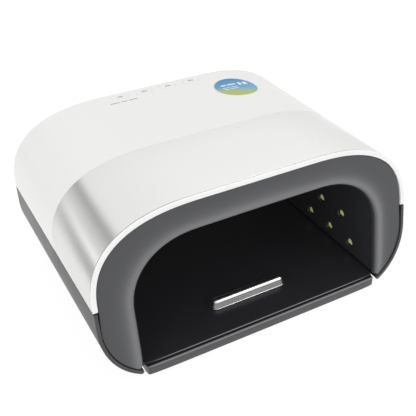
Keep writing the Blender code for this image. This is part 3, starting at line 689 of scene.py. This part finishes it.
def makeDeckPrint():
    # one line of plain strokes in front of the keys, each a low bar with round ends
    high = bodyTop + deckPrint["rise"]
    grids = []
    for left, right in deckPrint["strokes"]:
        outline = pill(right - left, deckPrint["width"], 24)
        levels = (high - deckPrint["thickness"], high)
        grids.append(stack([outline, outline], levels, ((left + right) / 2, deckPrint["y"])))
    finishPiece(sweep("deckPrint", *grids), "ink", smooth=None)


def inkMaterial():
    material, tree, shader = newMaterial("printInk")
    light = [c * 1.25 for c in keys["ink"]]
    colour = blend(tree, noiseOn(tree, 900, 2), keys["ink"], light)
    feed(tree, shader, {"Base Color": colour, "Roughness": 0.5})
    return material


bezel = {
    "halfWidth": 89.0,
    "top": 87.2,
    "corner": (46.0, 40.0, 2.2),
    "gap": 0.3,
    "plate": 3.4,
    "depth": 6.0,
    "skin": 1.6,
    "nose": (2.6, 2.9),
    "flat": 0.9,
    "crest": -0.4,
    "fullWidth": 15.0,  # of the face, below which its crest fades
    "ridgeStart": 11.0,
    "footRound": 2.6,
    "outerRound": 0.6,
    # the crest's painted highlight: shares of a paler colour at distances from the opening; and a darker
    # colour painted as shade inside the opening
    "paintedHighlightAt": (0.0, 1.2, 2.6, 3.6, 5.0, 6.5, 8.0, 11.0, 15.0),  # distances from the opening
    "paintedHighlightShare": (0.1, 0.6, 0.97, 1.0, 0.76, 0.48, 0.28, 0.12, 0.03),
    "paintedHighlightColour": (0.155, 0.157, 0.165),
    "paintedShadeColour": (0.02, 0.02, 0.024),
}


def paintedOver(name, look, layers):
    # a moulded finish under further colours, each over the share that layers(tree) gives with it
    material = moulded(name, looks[look])
    tree = material.node_tree
    shader = tree.nodes["Principled BSDF"]
    colour = shader.inputs["Base Color"].links[0].from_socket
    for share, far in layers(tree):
        colour = blend(tree, share, colour, far)
    feed(tree, shader, {"Base Color": colour})
    return material


def bezelPaintedLightMaterial():
    # the bezel's slate plastic, painted paler along its crest, a painted highlight, and painted darker
    # inside the opening, painted shade, where the piece's own values say so
    def layers(tree):
        for name, far in (("paintedHighlight", bezel["paintedHighlightColour"]), ("paintedShade", bezel["paintedShadeColour"])):
            yield addNode(tree, "Attribute", attribute_name=name).outputs["Fac"], far

    return paintedOver("bezelPaintedLight", "bezelGrey", layers)


def openingPath(footZ, count, footRound=0.0):
    # the hand opening's inverted U from right foot to left foot
    corner = upperCorner(bezel["corner"], bezel["halfWidth"], bezel["top"])
    start = np.array([[bezel["halfWidth"], footZ]])
    if footRound:
        t = np.linspace(0, np.pi / 2, 40)[:, None]
        start = start + [footRound, footRound] - np.hstack([np.sin(t), np.cos(t)]) * footRound
    right = np.concatenate([start, corner, [[0, bezel["top"]]]])
    path = evenly(mirrorPath(right), count)
    return path, outward(path)


def archInset(startX, count):
    # the bezel's outer line: the lamp's line moved in by the wall and gap below the seam, and by
    # the shell's wall and gap above it, from startX on one foot over the top to the other
    lowZ = body["bottomCorner"][1]
    top = upperCorner(body["topCorner"], halfWidth, bodyTop)
    right = np.concatenate([bottomCorner(900)[::-1], top, [[0, bodyTop]]])
    path = evenly(mirrorPath(right), 2400)
    insets = (body["wall"] + bezel["gap"], body["shellWall"] + bezel["gap"])
    inset = np.interp(path[:, 1], (lowZ, body["seam"]), insets)
    path = path - inset[:, None] * outward(path)
    keep = (path[:, 1] > lowZ) | (np.abs(path[:, 0]) >= startX)
    return evenly(path[keep], count)


def makeBezel():
    # Stations pair equal shares of the outer and inner lines. Each section is a function of the
    # distance w from the inner line: a flat face that rises to a crest by S(t) = 4 t^3 - 3 t^4,
    # a quarter ellipse for the nose, then the return into the chamber and the plate's back.
    count = 261
    flat, plate, back = bezel["flat"], bezel["plate"], bezel["depth"]
    outer = archInset(bezel["halfWidth"] + bezel["footRound"], count)
    inner, _ = openingPath(outer[0, 1] + 0.4, count, bezel["footRound"])
    width = np.hypot(*(outer - inner).T)
    across = (outer - inner) / width[:, None]
    # on the narrow feet, each part of the section takes no more than a share of the width
    noseWidth = np.minimum(bezel["nose"][0], width * 0.6)
    noseDepth = bezel["nose"][1]
    ridgeStart = np.minimum(bezel["ridgeStart"], width * 0.8)
    rim = np.minimum(bezel["outerRound"], width * 0.2)
    skin = np.minimum(bezel["skin"], width * 0.9)
    crest = flat + (bezel["crest"] - flat) * np.clip(width / bezel["fullWidth"], 0, 1)
    # each row also carries its share of the painted highlight about the crest, and of painted shade, which
    # darkens the nose and the return into the opening
    rows, paintedHighlight, paintedShade = [], [], []

    def row(w, behind, paintedShadeShare=0.0):
        w = np.broadcast_to(w, width.shape)
        line = inner + across * w[:, None]
        rows.append(atDepth(line, line[:, 1] * body["lean"] + behind))
        paintedHighlight.append(np.interp(w, bezel["paintedHighlightAt"], bezel["paintedHighlightShare"]))
        paintedShade.append(np.full(count, paintedShadeShare))

    for a, b in quarterRound(1, 5):
        row(width - rim * b, flat + rim * a)
    for share in np.linspace(1, 0, 5)[1:]:
        row(ridgeStart + (width - rim - ridgeStart) * share, flat)
    for t in np.linspace(0, 1, 15)[1:]:
        row(ridgeStart + (noseWidth - ridgeStart) * t, flat + (crest - flat) * (4 * t**3 - 3 * t**4))
    for t in np.linspace(0, np.pi / 2, 11)[1:]:
        past = math.sin(t)
        row(noseWidth * (1 - past), crest + noseDepth * (1 - math.cos(t)), 0.15 * past**4)
    for w, behind, paintedShadeShare in ((0, back - 2.4, 0.3), (0, back - 0.4, 1), (0.3, back, 1), (skin, back, 1)):
        row(w, behind, paintedShadeShare)
    row(skin, plate)
    row(width, plate)
    values = {"paintedHighlight": np.stack(paintedHighlight, axis=1).ravel(), "paintedShade": np.stack(paintedShade, axis=1).ravel()}
    ring = sweep("frontBezel", np.stack(rows, axis=1), values=values)
    finishPiece(ring, "bezelPaintedLight", "front_bezel")


housing = {
    "bay": 88.3,  # half width of the tray's bay
    "bayFront": 5.0,
    "bayRear": 149.0,
    "bayTop": 30.0,
    "mouth": 89.7,
    "mouthRound": 2.2,
    "rimRound": 0.5,
    "railOuter": 93.3,
    "railFront": 10.0,
    "railRear": 149.2,
    "railTop": 6.4,
    "curbRear": 153.5,
    "groove": (90.2, 147.5, 2.2, 4.8),  # half width, rear end, low and high
    "magnetHole": (148.0, 152.7, 1.2, 5.8),  # front, rear, low and high
    "footGap": 0.3,
    "postRadius": 3.6,
    "postTop": 50.0,
    "screwHead": (2.4, 4.0),  # radius, and depth left under the post's top
    "screwBore": (1.6, 8.0),
    "jackHole": 5.6,
    "vent": (2.0, 20.0, 22.0),  # width, height and middle height
    "ventX": 34.0,
    "ventCount": 7,
    "ventPitch": 5.0,
}
magnetPlaces = (-50, 50)
magnetHalf = 5.3  # half width of a magnet's pocket


def bothSides(xs, ys, zs):
    # a block to join on at the right, and its mirror image at the left
    (inner, outer), (front, rear), (low, high) = xs, ys, zs
    right = block((inner, front, low), (outer, rear, high))
    return [(add, right), (add, block((-outer, front, low), (-inner, rear, high)))]


def magnetPockets(front, rear, low, high):
    return [(cut, block((x - magnetHalf, front, low), (x + magnetHalf, rear, high))) for x in magnetPlaces]


def makeHousing():
    # the profile carried along the lower arch, from the inside pole round the front rim and over
    # the outside to the rear pole, then cut and joined with its bay, rails, posts and holes
    h = housing
    path, normals = housingArch()
    wall = body["wall"]
    front = [[wall, 1, 0, 6.0, 1], [wall, 1, 0, 0.2, 1], [wall - 0.2, 1, 0, 0.0, 1]]
    edge = [[a, 1, 0, b, 1] for a, b in quarterRound(h["rimRound"], 5)]
    profile = innerRows(wall) + front + edge + rearRows()
    tub = sweep("bottomHousing", loftShell(path, normals, profile, body["seam"] - body["seamGap"]))
    groove, grooveRear, grooveLow, grooveHigh = h["groove"]
    steps = [
        (cut, block((-h["bay"], h["bayFront"], -5), (h["bay"], h["bayRear"], h["bayTop"]))),
        (cut, mouthCutter()),
        *bothSides((h["bay"], h["railOuter"]), (h["railFront"], h["railRear"]), (0, h["railTop"])),
        (add, block((-h["railOuter"], h["bayRear"], 0), (h["railOuter"], h["curbRear"], h["railTop"]))),
        (cut, block((-groove, -5, grooveLow), (groove, grooveRear, grooveHigh))),
    ]
    steps += magnetPockets(*h["magnetHole"])
    top = h["postTop"]
    for corner in fourCorners:
        low, high = lampBox("rubber_foot_" + corner)
        steps.append((cut, block(low - h["footGap"], high + h["footGap"])))
        screw = middle("housing_screw_" + corner)
        steps.append((add, postTube(screw)))
        radius, under = h["screwHead"]
        steps.append((cut, rod(screw[:2], radius, top - under, -5, sides=24)))
        radius, under = h["screwBore"]
        steps.append((cut, rod(screw[:2], radius, top - under, top + 5, sides=20)))
    jack = middle("dc_jack")
    steps.append((cut, rod((jack[0], jack[2]), h["jackHole"], depth - 8, depth + 3, "Y", 40)))
    for side in (-1, 1):
        for step in range(h["ventCount"]):
            steps.append((cut, ventCutter(side * (h["ventX"] + step * h["ventPitch"]))))
    carve(tub, steps)
    finishPiece(tub, "housingGrey", "bottom_housing")


def mouthCutter():
    # the tray's front opening, whose lower corners round off the housing's two feet
    half, fillet = housing["mouth"], housing["mouthRound"]
    lowX, lowZ, _ = body["bottomCorner"]
    centreX = half + fillet
    centreZ = lowZ * (1 - math.sqrt(1 - ((centreX - halfWidth + lowX) / lowX) ** 2)) + fillet
    t = np.linspace(np.pi, 1.5 * np.pi, 9)
    arc = np.column_stack([centreX + fillet * np.cos(t), centreZ + fillet * np.sin(t)])
    right = np.concatenate([[[half, 31]], arc, [[centreX, -6]]])
    outline = np.concatenate([right, right[::-1] * [-1, 1]])
    return sweep("mouth", upright(outline, (-5, housing["railFront"])))


def ventCutter(x):
    # an upright slot with round ends, through the rear wall
    width, height, level = housing["vent"]
    outline = pill(height, width, 24)[:, ::-1] + [x, level]
    return sweep("vent", upright(outline, (depth - 8, depth + 5)))


def postTube(centre):
    # a screw post whose foot follows the housing's rounded bottom
    x, y = (centre[:2] + housing["postRadius"] * circle(32)).T
    lowX, lowZ, _ = body["bottomCorner"]
    along = np.clip((np.abs(x) - (halfWidth - lowX)) / lowX, 0, 1)
    foot = lowZ * (1 - np.sqrt(1 - along**2)) + 1.5
    rows = [np.column_stack([x, y, z]) for z in (foot, np.full(32, housing["postTop"]))]
    return sweep("post", np.stack(rows))


chamber = {
    "wall": 2.0,
    "clear": 0.5,
    "footZ": 8.3,
    "depth": 150.0,
    "hole": 3.3,
    "flare": 0.5,
    "sensorHole": 1.9,
}


def chamberPath(count):
    path, normals = openingPath(chamber["footZ"], count)
    normals[0], normals[-1] = [1, 0], [-1, 0]
    return path, normals


def makeLiner():
    # the black arch: the opening's U moved out to an inner and an outer line, from the front to the rear
    c = chamber
    path, normals = chamberPath(201)
    inner, outer = c["clear"], c["clear"] + c["wall"]
    rows = []
    for grow, front in ((inner, True), (inner, False), (outer, False), (outer, True)):
        line = path + normals * grow
        rows.append(atDepth(line, line[:, 1] * body["lean"] + bezel["depth"] + 0.3 if front else c["depth"]))
    liner = sweep("chamberLiner", np.stack(rows, axis=1))
    side, roof = bezel["halfWidth"] + inner, bezel["top"] + inner
    holes = []
    for start, end in ((-side - 4, 0.01 - side), (side + 4, side - 0.01)):
        for spot in sidePlaces():
            holes.append((cut, rod(spot, c["hole"], start, end, "X", 28, c["flare"])))
    for spot in roofPlaces():
        holes.append((cut, rod(spot, c["hole"], roof + 4, roof - 0.01, "Z", 28, c["flare"])))
    for name in ("emitter", "receiver"):
        spot = middle("hand_sensor_" + name)[:2]
        holes.append((cut, rod(spot, c["sensorHole"], roof + 4, roof - 1, "Z", 24)))
    carve(liner, holes)
    finishPiece(liner, "chamberBlack", "chamber_liner")


def makeChamberRear():
    # the liner's outer line, closed by a flat plate
    path, normals = chamberPath(161)
    low, high = lampBox("chamber_rear_wall")
    outline = path + normals * (chamber["clear"] + chamber["wall"])
    wall = sweep("chamberRear", upright(outline, (low[1], high[1])))
    finishPiece(wall, "chamberBackPaintedLight", "chamber_rear_wall")


ledChips = {
    "size": (3.5, 5.0, 1.1),
    "squareness": 5.0,
    "rows": (0.0, 0.35, 0.6, 0.8, 0.92, 0.985, 1.0),
    # how strongly the chips glow, painted light
    "paintedGlow": 0.25,
    "pitch": 24.3,
    "lowRow": (32.8, 16.3),  # first chip's place along the depth and height
    "highRow": (45.2, 34.5),
    "roofStart": 52.0,
}


def boardMaterial():
    # solder mask with a pattern of copper tracks under it
    material, tree, shader = newMaterial("boardGreen")
    tracks = addNode(tree, "TexBrick", {
        "Vector": objectPlace(tree),
        "Scale": 220,
        "Mortar Size": 0.03,
        "Color1": (0.02, 0.16, 0.07),
        "Color2": (0.02, 0.14, 0.065),
        "Mortar": (0.05, 0.28, 0.12),
    })
    gloss = spread(tree, noiseOn(tree, 300, 2), 0.3, 0.4)
    feed(tree, shader, {"Base Color": tracks.outputs["Color"], "Roughness": gloss})
    return material


def ledMaterial():
    # yellow-green phosphor under clear silicone, with a cloudy tone and a faint glow, painted light that
    # brightens the chips
    material, tree, shader = newMaterial("ledPhosphor")
    cloud = noiseOn(tree, 700, 3)
    feed(tree, shader, {
        "Base Color": blend(tree, cloud, (0.6, 0.58, 0.14), (0.8, 0.78, 0.4)),
        "Roughness": spread(tree, cloud, 0.1, 0.2),
        "Emission Color": (0.66, 0.64, 0.22),
        "Emission Strength": ledChips["paintedGlow"],
        "Coat Weight": 0.5,
    })
    return material


def sidePlaces():
    pitch, (lowY, lowZ), (highY, highZ) = ledChips["pitch"], ledChips["lowRow"], ledChips["highRow"]
    low = [(lowY + step * pitch, lowZ) for step in range(3)]
    return low + [(highY + step * pitch, highZ) for step in range(2)]


def roofPlaces():
    pitch, start = ledChips["pitch"], ledChips["roofStart"]
    return [(x * pitch, start + row * pitch) for row in range(3) for x in (-1, 0, 1)]


def lensGrid(spot, axis, face, direction):
    # a low square dome: half sizes shrink as (1 - h^4)^(1/4) while the height h runs to the crown
    width, length, height = ledChips["size"]
    ring = circle(32)
    ring = np.sign(ring) * np.abs(ring) ** (2 / ledChips["squareness"])
    rows = []
    for level in ledChips["rows"]:
        size = max((1 - level**4) ** 0.25, 0.02)
        flat = ring * [length / 2 * size, width / 2 * size] + spot
        rows.append(np.column_stack([flat, np.full(len(ring), face + direction * (0.1 + level * height))]))
    return np.stack(rows)[..., axisOrder[axis]]


def makeBoardWithLeds(node, name, axis, places, direction):
    # the bare board, a plate with rounded edges, and its chips as lenses standing on its face
    low, high = lampBox(node)
    side = low if direction < 0 else high
    along = "XYZ".index(axis)
    side[along] -= direction * ledChips["size"][2]
    board = block(low, high, name + "Board")
    roundEdges(board, 0.15)
    finishPiece(board, "board", node, smooth=None)
    chips = sweep(name + "Leds", *[lensGrid(spot, axis, side[along], direction) for spot in places])
    finishPiece(chips, "led", smooth=60)


tray = {
    "halfWidth": 87.7,
    "rear": 148.5,
    "bow": (87.2, 2.2, 6.0),
    "bottom": 0.3,
    "bottomRound": 0.6,
    "seat": 6.4,
    "lip": 7.3,
    "lipWidth": 2.7,
    "lipRound": 0.7,
    "hollow": (80.0, 14.0, 138.0, 3.0),  # half width, front, rear and height of the hollow underneath
    "runner": ((86.2, 89.5), (18.0, 146.0), (2.6, 4.4)),
    "magnetHole": (144.6, 152.0, 1.2, 5.2),  # front, rear, low and high
    "floor": 8.0,
    "floorRound": 0.5,
    "floorGap": 0.3,
    "floorHalfWidth": 88.9,
    "floorRear": 149.7,
    # heights over which the paint starts, then for each colour where it comes in along the depth: on the lip,
    # a paler front top edge, a painted highlight, with black over its top behind it, and on the floor panel,
    # a paler front edge, a painted highlight
    "lipPaintedHighlightAndBlack": {"heights": (6.4, 7.0),
                "colours": (((5.0, 4.9), (0.2, 0.2, 0.2)), ((0.9, 1.3), (0.014, 0.014, 0.017)))},
    "floorPaintedHighlight": {"heights": (7.3, 7.6), "colours": (((3.5, 3.25), (0.2, 0.2, 0.2)),)},
}


def paintedEdgeMaterial(name, look, edge):
    # a plastic whose front upper edge is painted paler, a painted highlight, and which may turn to another
    # colour behind it
    def layers(tree):
        where = addNode(tree, "SeparateXYZ", {"Vector": objectPlace(tree)}).outputs
        above = ramp(tree, where["Z"], *[lampOrigin.z + z * mm for z in edge["heights"]])
        for ends, far in edge["colours"]:
            along = ramp(tree, where["Y"], *[lampOrigin.y + y * mm for y in ends])
            yield combine(tree, "MULTIPLY", above, along), far

    return paintedOver(name, look, layers)


def trayPlan(inset, halfX, rear):
    # bowed front edge y = b (1 - (1 - |x/a|^n)^(1/n)) moved back by inset, then straight sides
    a, b, n = tray["bow"]
    quarter = superCorner(b, a, n, 60)
    right = np.column_stack([quarter[:, 1], b - quarter[:, 0] + inset])
    front = np.concatenate([right[::-1] * [-1, 1], right[1:]])
    shoulder = b + inset + 2
    sides = [[halfX, shoulder], [halfX, rear], [-halfX, rear], [-halfX, shoulder]]
    return np.concatenate([front, sides])


def insetPlan(plan, inset):
    # the closed plan moved inward by inset along its own normals
    ahead = unit(np.roll(plan, -1, axis=0) - plan)
    mid = unit(ahead + unit(plan - np.roll(plan, 1, axis=0)))
    normal = np.column_stack([-mid[:, 1], mid[:, 0]])
    grow = 1 / np.clip((mid * ahead).sum(1), 0.5, 1)
    return plan + normal * (inset * grow)[:, None]


def roundedSlab(name, plan, low, high, lowRound, highRound):
    # the plan raised from low to high, moved in by r (1 - sin t) and r (1 - cos t) at its two edges
    lower, upper = quarterRound(lowRound, 6), quarterRound(highRound, 6)
    rows = [insetPlan(plan, a) for a, b in lower] + [insetPlan(plan, b) for a, b in upper]
    levels = [low + b for a, b in lower] + [high - a for a, b in upper]
    return sweep(name, stack(rows, levels))


def makeTray():
    # two slabs with the lip's bowed plan: the frame, which is hollowed out, and the floor on its seat
    t = tray
    plan = trayPlan(0, t["halfWidth"], t["rear"])
    base = roundedSlab("trayFrame", plan, t["bottom"], t["lip"], t["bottomRound"], t["lipRound"])
    seat = trayPlan(t["lipWidth"], 95, t["rear"] + 10)
    half, front, rear, high = t["hollow"]
    steps = [
        (cut, sweep("seat", stack([seat, seat], (t["seat"], 20)))),
        (cut, block((-half, front, -5), (half, rear, high))),
        *bothSides(*t["runner"]),
    ]
    carve(base, steps + magnetPockets(*t["magnetHole"]))
    finishPiece(base, "traySlate", "tray_frame", "base_tray")
    plan = trayPlan(t["lipWidth"] + t["floorGap"], t["floorHalfWidth"], t["floorRear"])
    panel = roundedSlab("trayFloor", plan, t["seat"] + t["floorGap"], t["floor"], 0.1, t["floorRound"])
    finishPiece(panel, "floorPanelBlack", "tray_floor_panel", "base_tray")


fingerBar = {
    "flange": 0.6,  # width and height of the low flange
    "flank": 1.5,  # how far the flanks have leaned in at the crest's foot
    "crest": 2.0,
}


def makeFingerBar():
    # A bar with round ends: a low flange, flanks that lean in at a steady slope, and a rounded crest.
    # Each outline is the plan's slot moved in by an inset; on the crest, a quarter ellipse, the inset
    # is f + r (1 - cos t) at the height s + h sin t, with t from 0 to a right angle.
    low, high = lampBox("finger_rest_bar")
    length, width = (high - low)[:2]
    flange, flank = fingerBar["flange"], fingerBar["flank"]
    flangeTop, shoulder = low[2] + flange, high[2] - fingerBar["crest"]
    insets = [0.15, 0, 0, 0.1, flange]
    levels = [low[2], low[2] + 0.15, flangeTop - 0.15, flangeTop, flangeTop + 0.1]
    for share in np.linspace(0, 1, 6)[1:]:
        insets.append(flange + (flank - flange) * share)
        levels.append(flangeTop + (shoulder - flangeTop) * share)
    for t in np.linspace(0, np.pi / 2, 18)[1:-1]:
        insets.append(flank + (width / 2 - flank) * (1 - math.cos(t)))
        levels.append(shoulder + (high[2] - shoulder) * math.sin(t))
    outlines = [pill(length - 2 * inset, width - 2 * inset, 96) for inset in insets]
    bar = sweep("fingerRestBar", stack(outlines, levels, middle("finger_rest_bar")[:2]))
    finishPiece(bar, "barSteel", "finger_rest_bar", "base_tray", smooth=50)


def makeFeet():
    # flat strips with rounded edges, along the rails
    for corner in fourCorners:
        foot = block(*lampBox("rubber_foot_" + corner), "rubberFoot_" + corner)
        roundEdges(foot, 0.4, 3)
        finishPiece(foot, "footRubber", "rubber_foot_" + corner, smooth=None)


jackParts = {
    "body": 6.0,  # radii
    "flange": 6.6,
    "nose": 5.2,
    "mouth": 3.2,
    "bore": 2.8,
    "pin": 1.0,
    "boreDepth": 10.0,
}


def makeJack():
    # turned socket: P(v, a) = (x + r(v) cos a, y(v), z + r(v) sin a)
    j = jackParts
    low, high = lampBox("dc_jack")
    x, _, z = middle("dc_jack")
    start, mouth = low[1], high[1]
    wall, bottom = depth - body["wall"] - 0.3, depth - j["boreDepth"]
    profile = [
        (start, j["body"]), (start + 0.6, j["flange"]), (wall, j["flange"]), (wall, j["nose"]),
        (mouth - 0.3, j["nose"]), (mouth, j["nose"] - 0.3), (mouth, j["mouth"]), (mouth - 0.4, j["bore"]),
        (bottom, j["bore"]), (bottom, j["pin"]), (mouth - 1.6, j["pin"]), (mouth - 1.05, 0.6),
        (mouth - 1.0, 0.05),
    ]
    jack = sweep("dcJack", np.stack([atDepth(circle(48) * r + [x, z], y) for y, r in profile]))
    finishPiece(jack, "blackPlastic", "dc_jack")


# finishes of the plain parts that keep their own shape, by the start of their names
plainFinishes = {
    "screwSteel": ("housing_screw", "control_board_screw"),
    "magnetNickel": ("housing_magnet", "tray_magnet"),
    "board": ("control_board", "hand_sensor_board"),
    "blackPlastic": ("tact_switch", "switch_plunger", "hand_sensor", "microcontroller"),
    "potted": ("bulk_capacitor", "driver_inductor"),
}


def refinish():
    # the longest matching start wins, and the leads are what is left over
    starts = [(start, finish) for finish, group in plainFinishes.items() for start in group]
    starts.sort(key=lambda pair: -len(pair[0]))
    for name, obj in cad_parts.items():
        if obj.hide_render:
            continue
        finish = next((finish for start, finish in starts if name.startswith(start)), "wireRed")
        for holder in obj.material_slots:
            holder.material = materials[finish]


# places in metres and angles in degrees
stage = {
    "floor": (0.1, 0.1, 0.1),
    "floorGlow": 0.93,
    "floorLeft": 0.36,
    "floorHalf": 6.0,
    "cameraPlace": (-0.19264, -0.37027, 0.32622),
    "yaw": 27.66,
    "pitch": 33.78,
    "roll": -1.326,
    "lens": 60.46,
    "lightTarget": (0, 0, 0.05),
}

# Brightness of the studio round the lamp's front-to-back axis, from the right horizon (0 degrees)
# over the top to the left horizon (180) and on under it: a pale overhead cloth, then long lights
# with dark gaps, which the steel band mirrors as streaks.
studio = {
    "strength": 1.0,
    "degrees": (0, 20, 50, 76, 99, 112, 120, 126, 131, 138, 150, 159, 163, 167, 172, 180, 188, 197, 204, 211,
                225, 240, 260),
    "levels": (0.99, 1.04, 1.09, 1.06, 1.03, 1.02, 1.0, 0.72, 0.4, 0.55, 0.77, 0.8, 1.25, 1.6, 0.8, 0.5,
               0.44, 0.48, 1.0, 1.08, 1.0, 0.93, 0.9),
}

# name, place, size, power and whether glossy surfaces mirror it; each looks at the middle of the lamp
softLights = [
    ("frontSoftbox", (0.5, -0.65, 0.85), 0.36, 1.3, True),
    ("leftFill", (-1.2, -0.15, 0.6), 0.9, 5.0, False),
]


def makeStage():
    half, left = stage["floorHalf"], stage["floorLeft"]
    corners = np.array([[-left, -half, 0], [half, -half, 0], [half, half, 0], [-left, half, 0]])
    mesh = bpy.data.meshes.new("floorPlane")
    mesh.from_pydata((corners + [0, 0, cadLow.z]).tolist(), [], [[0, 1, 2, 3]])
    floor = addObject("floorPlane", mesh)
    material, tree, shader = newMaterial("floorPaper")
    feed(tree, shader, {
        "Base Color": stage["floor"],
        "Roughness": 0.85,
        "Specular IOR Level": 0.1,
        "Emission Color": (1, 1, 1),
        "Emission Strength": stage["floorGlow"],
    })
    floor.data.materials.append(material)


def makeLight():
    # the studio's brightness by the angle of each direction round the depth axis, and soft lights
    world = bpy.data.worlds.new("studio")
    bpy.context.scene.world = world
    world.use_nodes = True
    tree = world.node_tree
    full = 2 * math.pi
    where = addNode(tree, "TexCoord").outputs["Generated"]
    split = addNode(tree, "SeparateXYZ", {"Vector": where}).outputs
    angle = combine(tree, "WRAP", combine(tree, "ARCTAN2", split["Z"], split["X"]), full, 0)
    levels = addNode(tree, "ValToRGB", {"Fac": ramp(tree, angle, 0, full)})
    stops = levels.color_ramp.elements
    while len(stops) < len(studio["degrees"]):
        stops.new(1.0)
    for stop, degrees, level in zip(stops, studio["degrees"], studio["levels"]):
        stop.position = degrees / 360
        stop.color = (level, level, level, 1)
    # the empty background stays plain white behind the lamp
    seen = addNode(tree, "LightPath").outputs["Is Camera Ray"]
    colour = blend(tree, seen, levels.outputs["Color"], (1, 1, 1))
    feed(tree, tree.nodes["Background"], {"Color": colour, "Strength": studio["strength"]})
    for name, spot, size, power, mirrored in softLights:
        data = bpy.data.lights.new(name, "AREA")
        data.shape = "SQUARE"
        data.size = size
        data.energy = power
        light = addObject(name, data)
        light.location = spot
        light.visible_glossy = mirrored
        towards = Vector(stage["lightTarget"]) - Vector(spot)
        light.rotation_euler = towards.to_track_quat("-Z", "Y").to_euler()
    bpy.context.scene.view_settings.view_transform = "Standard"


def makeCamera():
    # turned right by yaw, down by pitch, then about its own line of sight by roll
    yaw, pitch, roll = (math.radians(stage[k]) for k in ("yaw", "pitch", "roll"))
    down = Matrix.Rotation(math.pi / 2 - pitch, 4, "X")
    turn = Matrix.Rotation(-yaw, 4, "Z") @ down @ Matrix.Rotation(roll, 4, "Z")
    data = bpy.data.cameras.new("camera")
    data.lens = stage["lens"]
    data.clip_start = 0.01
    camera = addObject("camera", data)
    camera.matrix_world = Matrix.Translation(stage["cameraPlace"]) @ turn
    bpy.context.scene.camera = camera


makeCamera()
materials = {name: moulded(name, look) for name, look in looks.items()}
materials["bezelPaintedLight"] = bezelPaintedLightMaterial()
materials["traySlate"] = paintedEdgeMaterial("traySlate", "bezelGrey", tray["lipPaintedHighlightAndBlack"])
materials["floorPanelBlack"] = paintedEdgeMaterial("floorPanelBlack", "floorBlack", tray["floorPaintedHighlight"])
materials["bandSteel"] = brushedBand()
materials["badgePrint"] = badgeMaterial()
materials["board"] = boardMaterial()
materials["led"] = ledMaterial()
materials["ink"] = inkMaterial()
print("camera and materials ready")

makeTopShell()
makeBadge()
makeBand()
for keyName in keys["names"]:
    makeKey(keyName)
makeDeckPrint()
print("top shell done")

makeBezel()
makeHousing()
print("bezel and housing done")

makeLiner()
makeChamberRear()
makeBoardWithLeds("right_led_board", "right", "X", sidePlaces(), -1)
makeBoardWithLeds("left_led_board", "left", "X", sidePlaces(), 1)
makeBoardWithLeds("roof_led_board", "roof", "Z", roofPlaces(), -1)
print("chamber done")

makeTray()
makeFingerBar()
makeFeet()
makeJack()
refinish()
print("tray and small parts done")

makeStage()
makeLight()
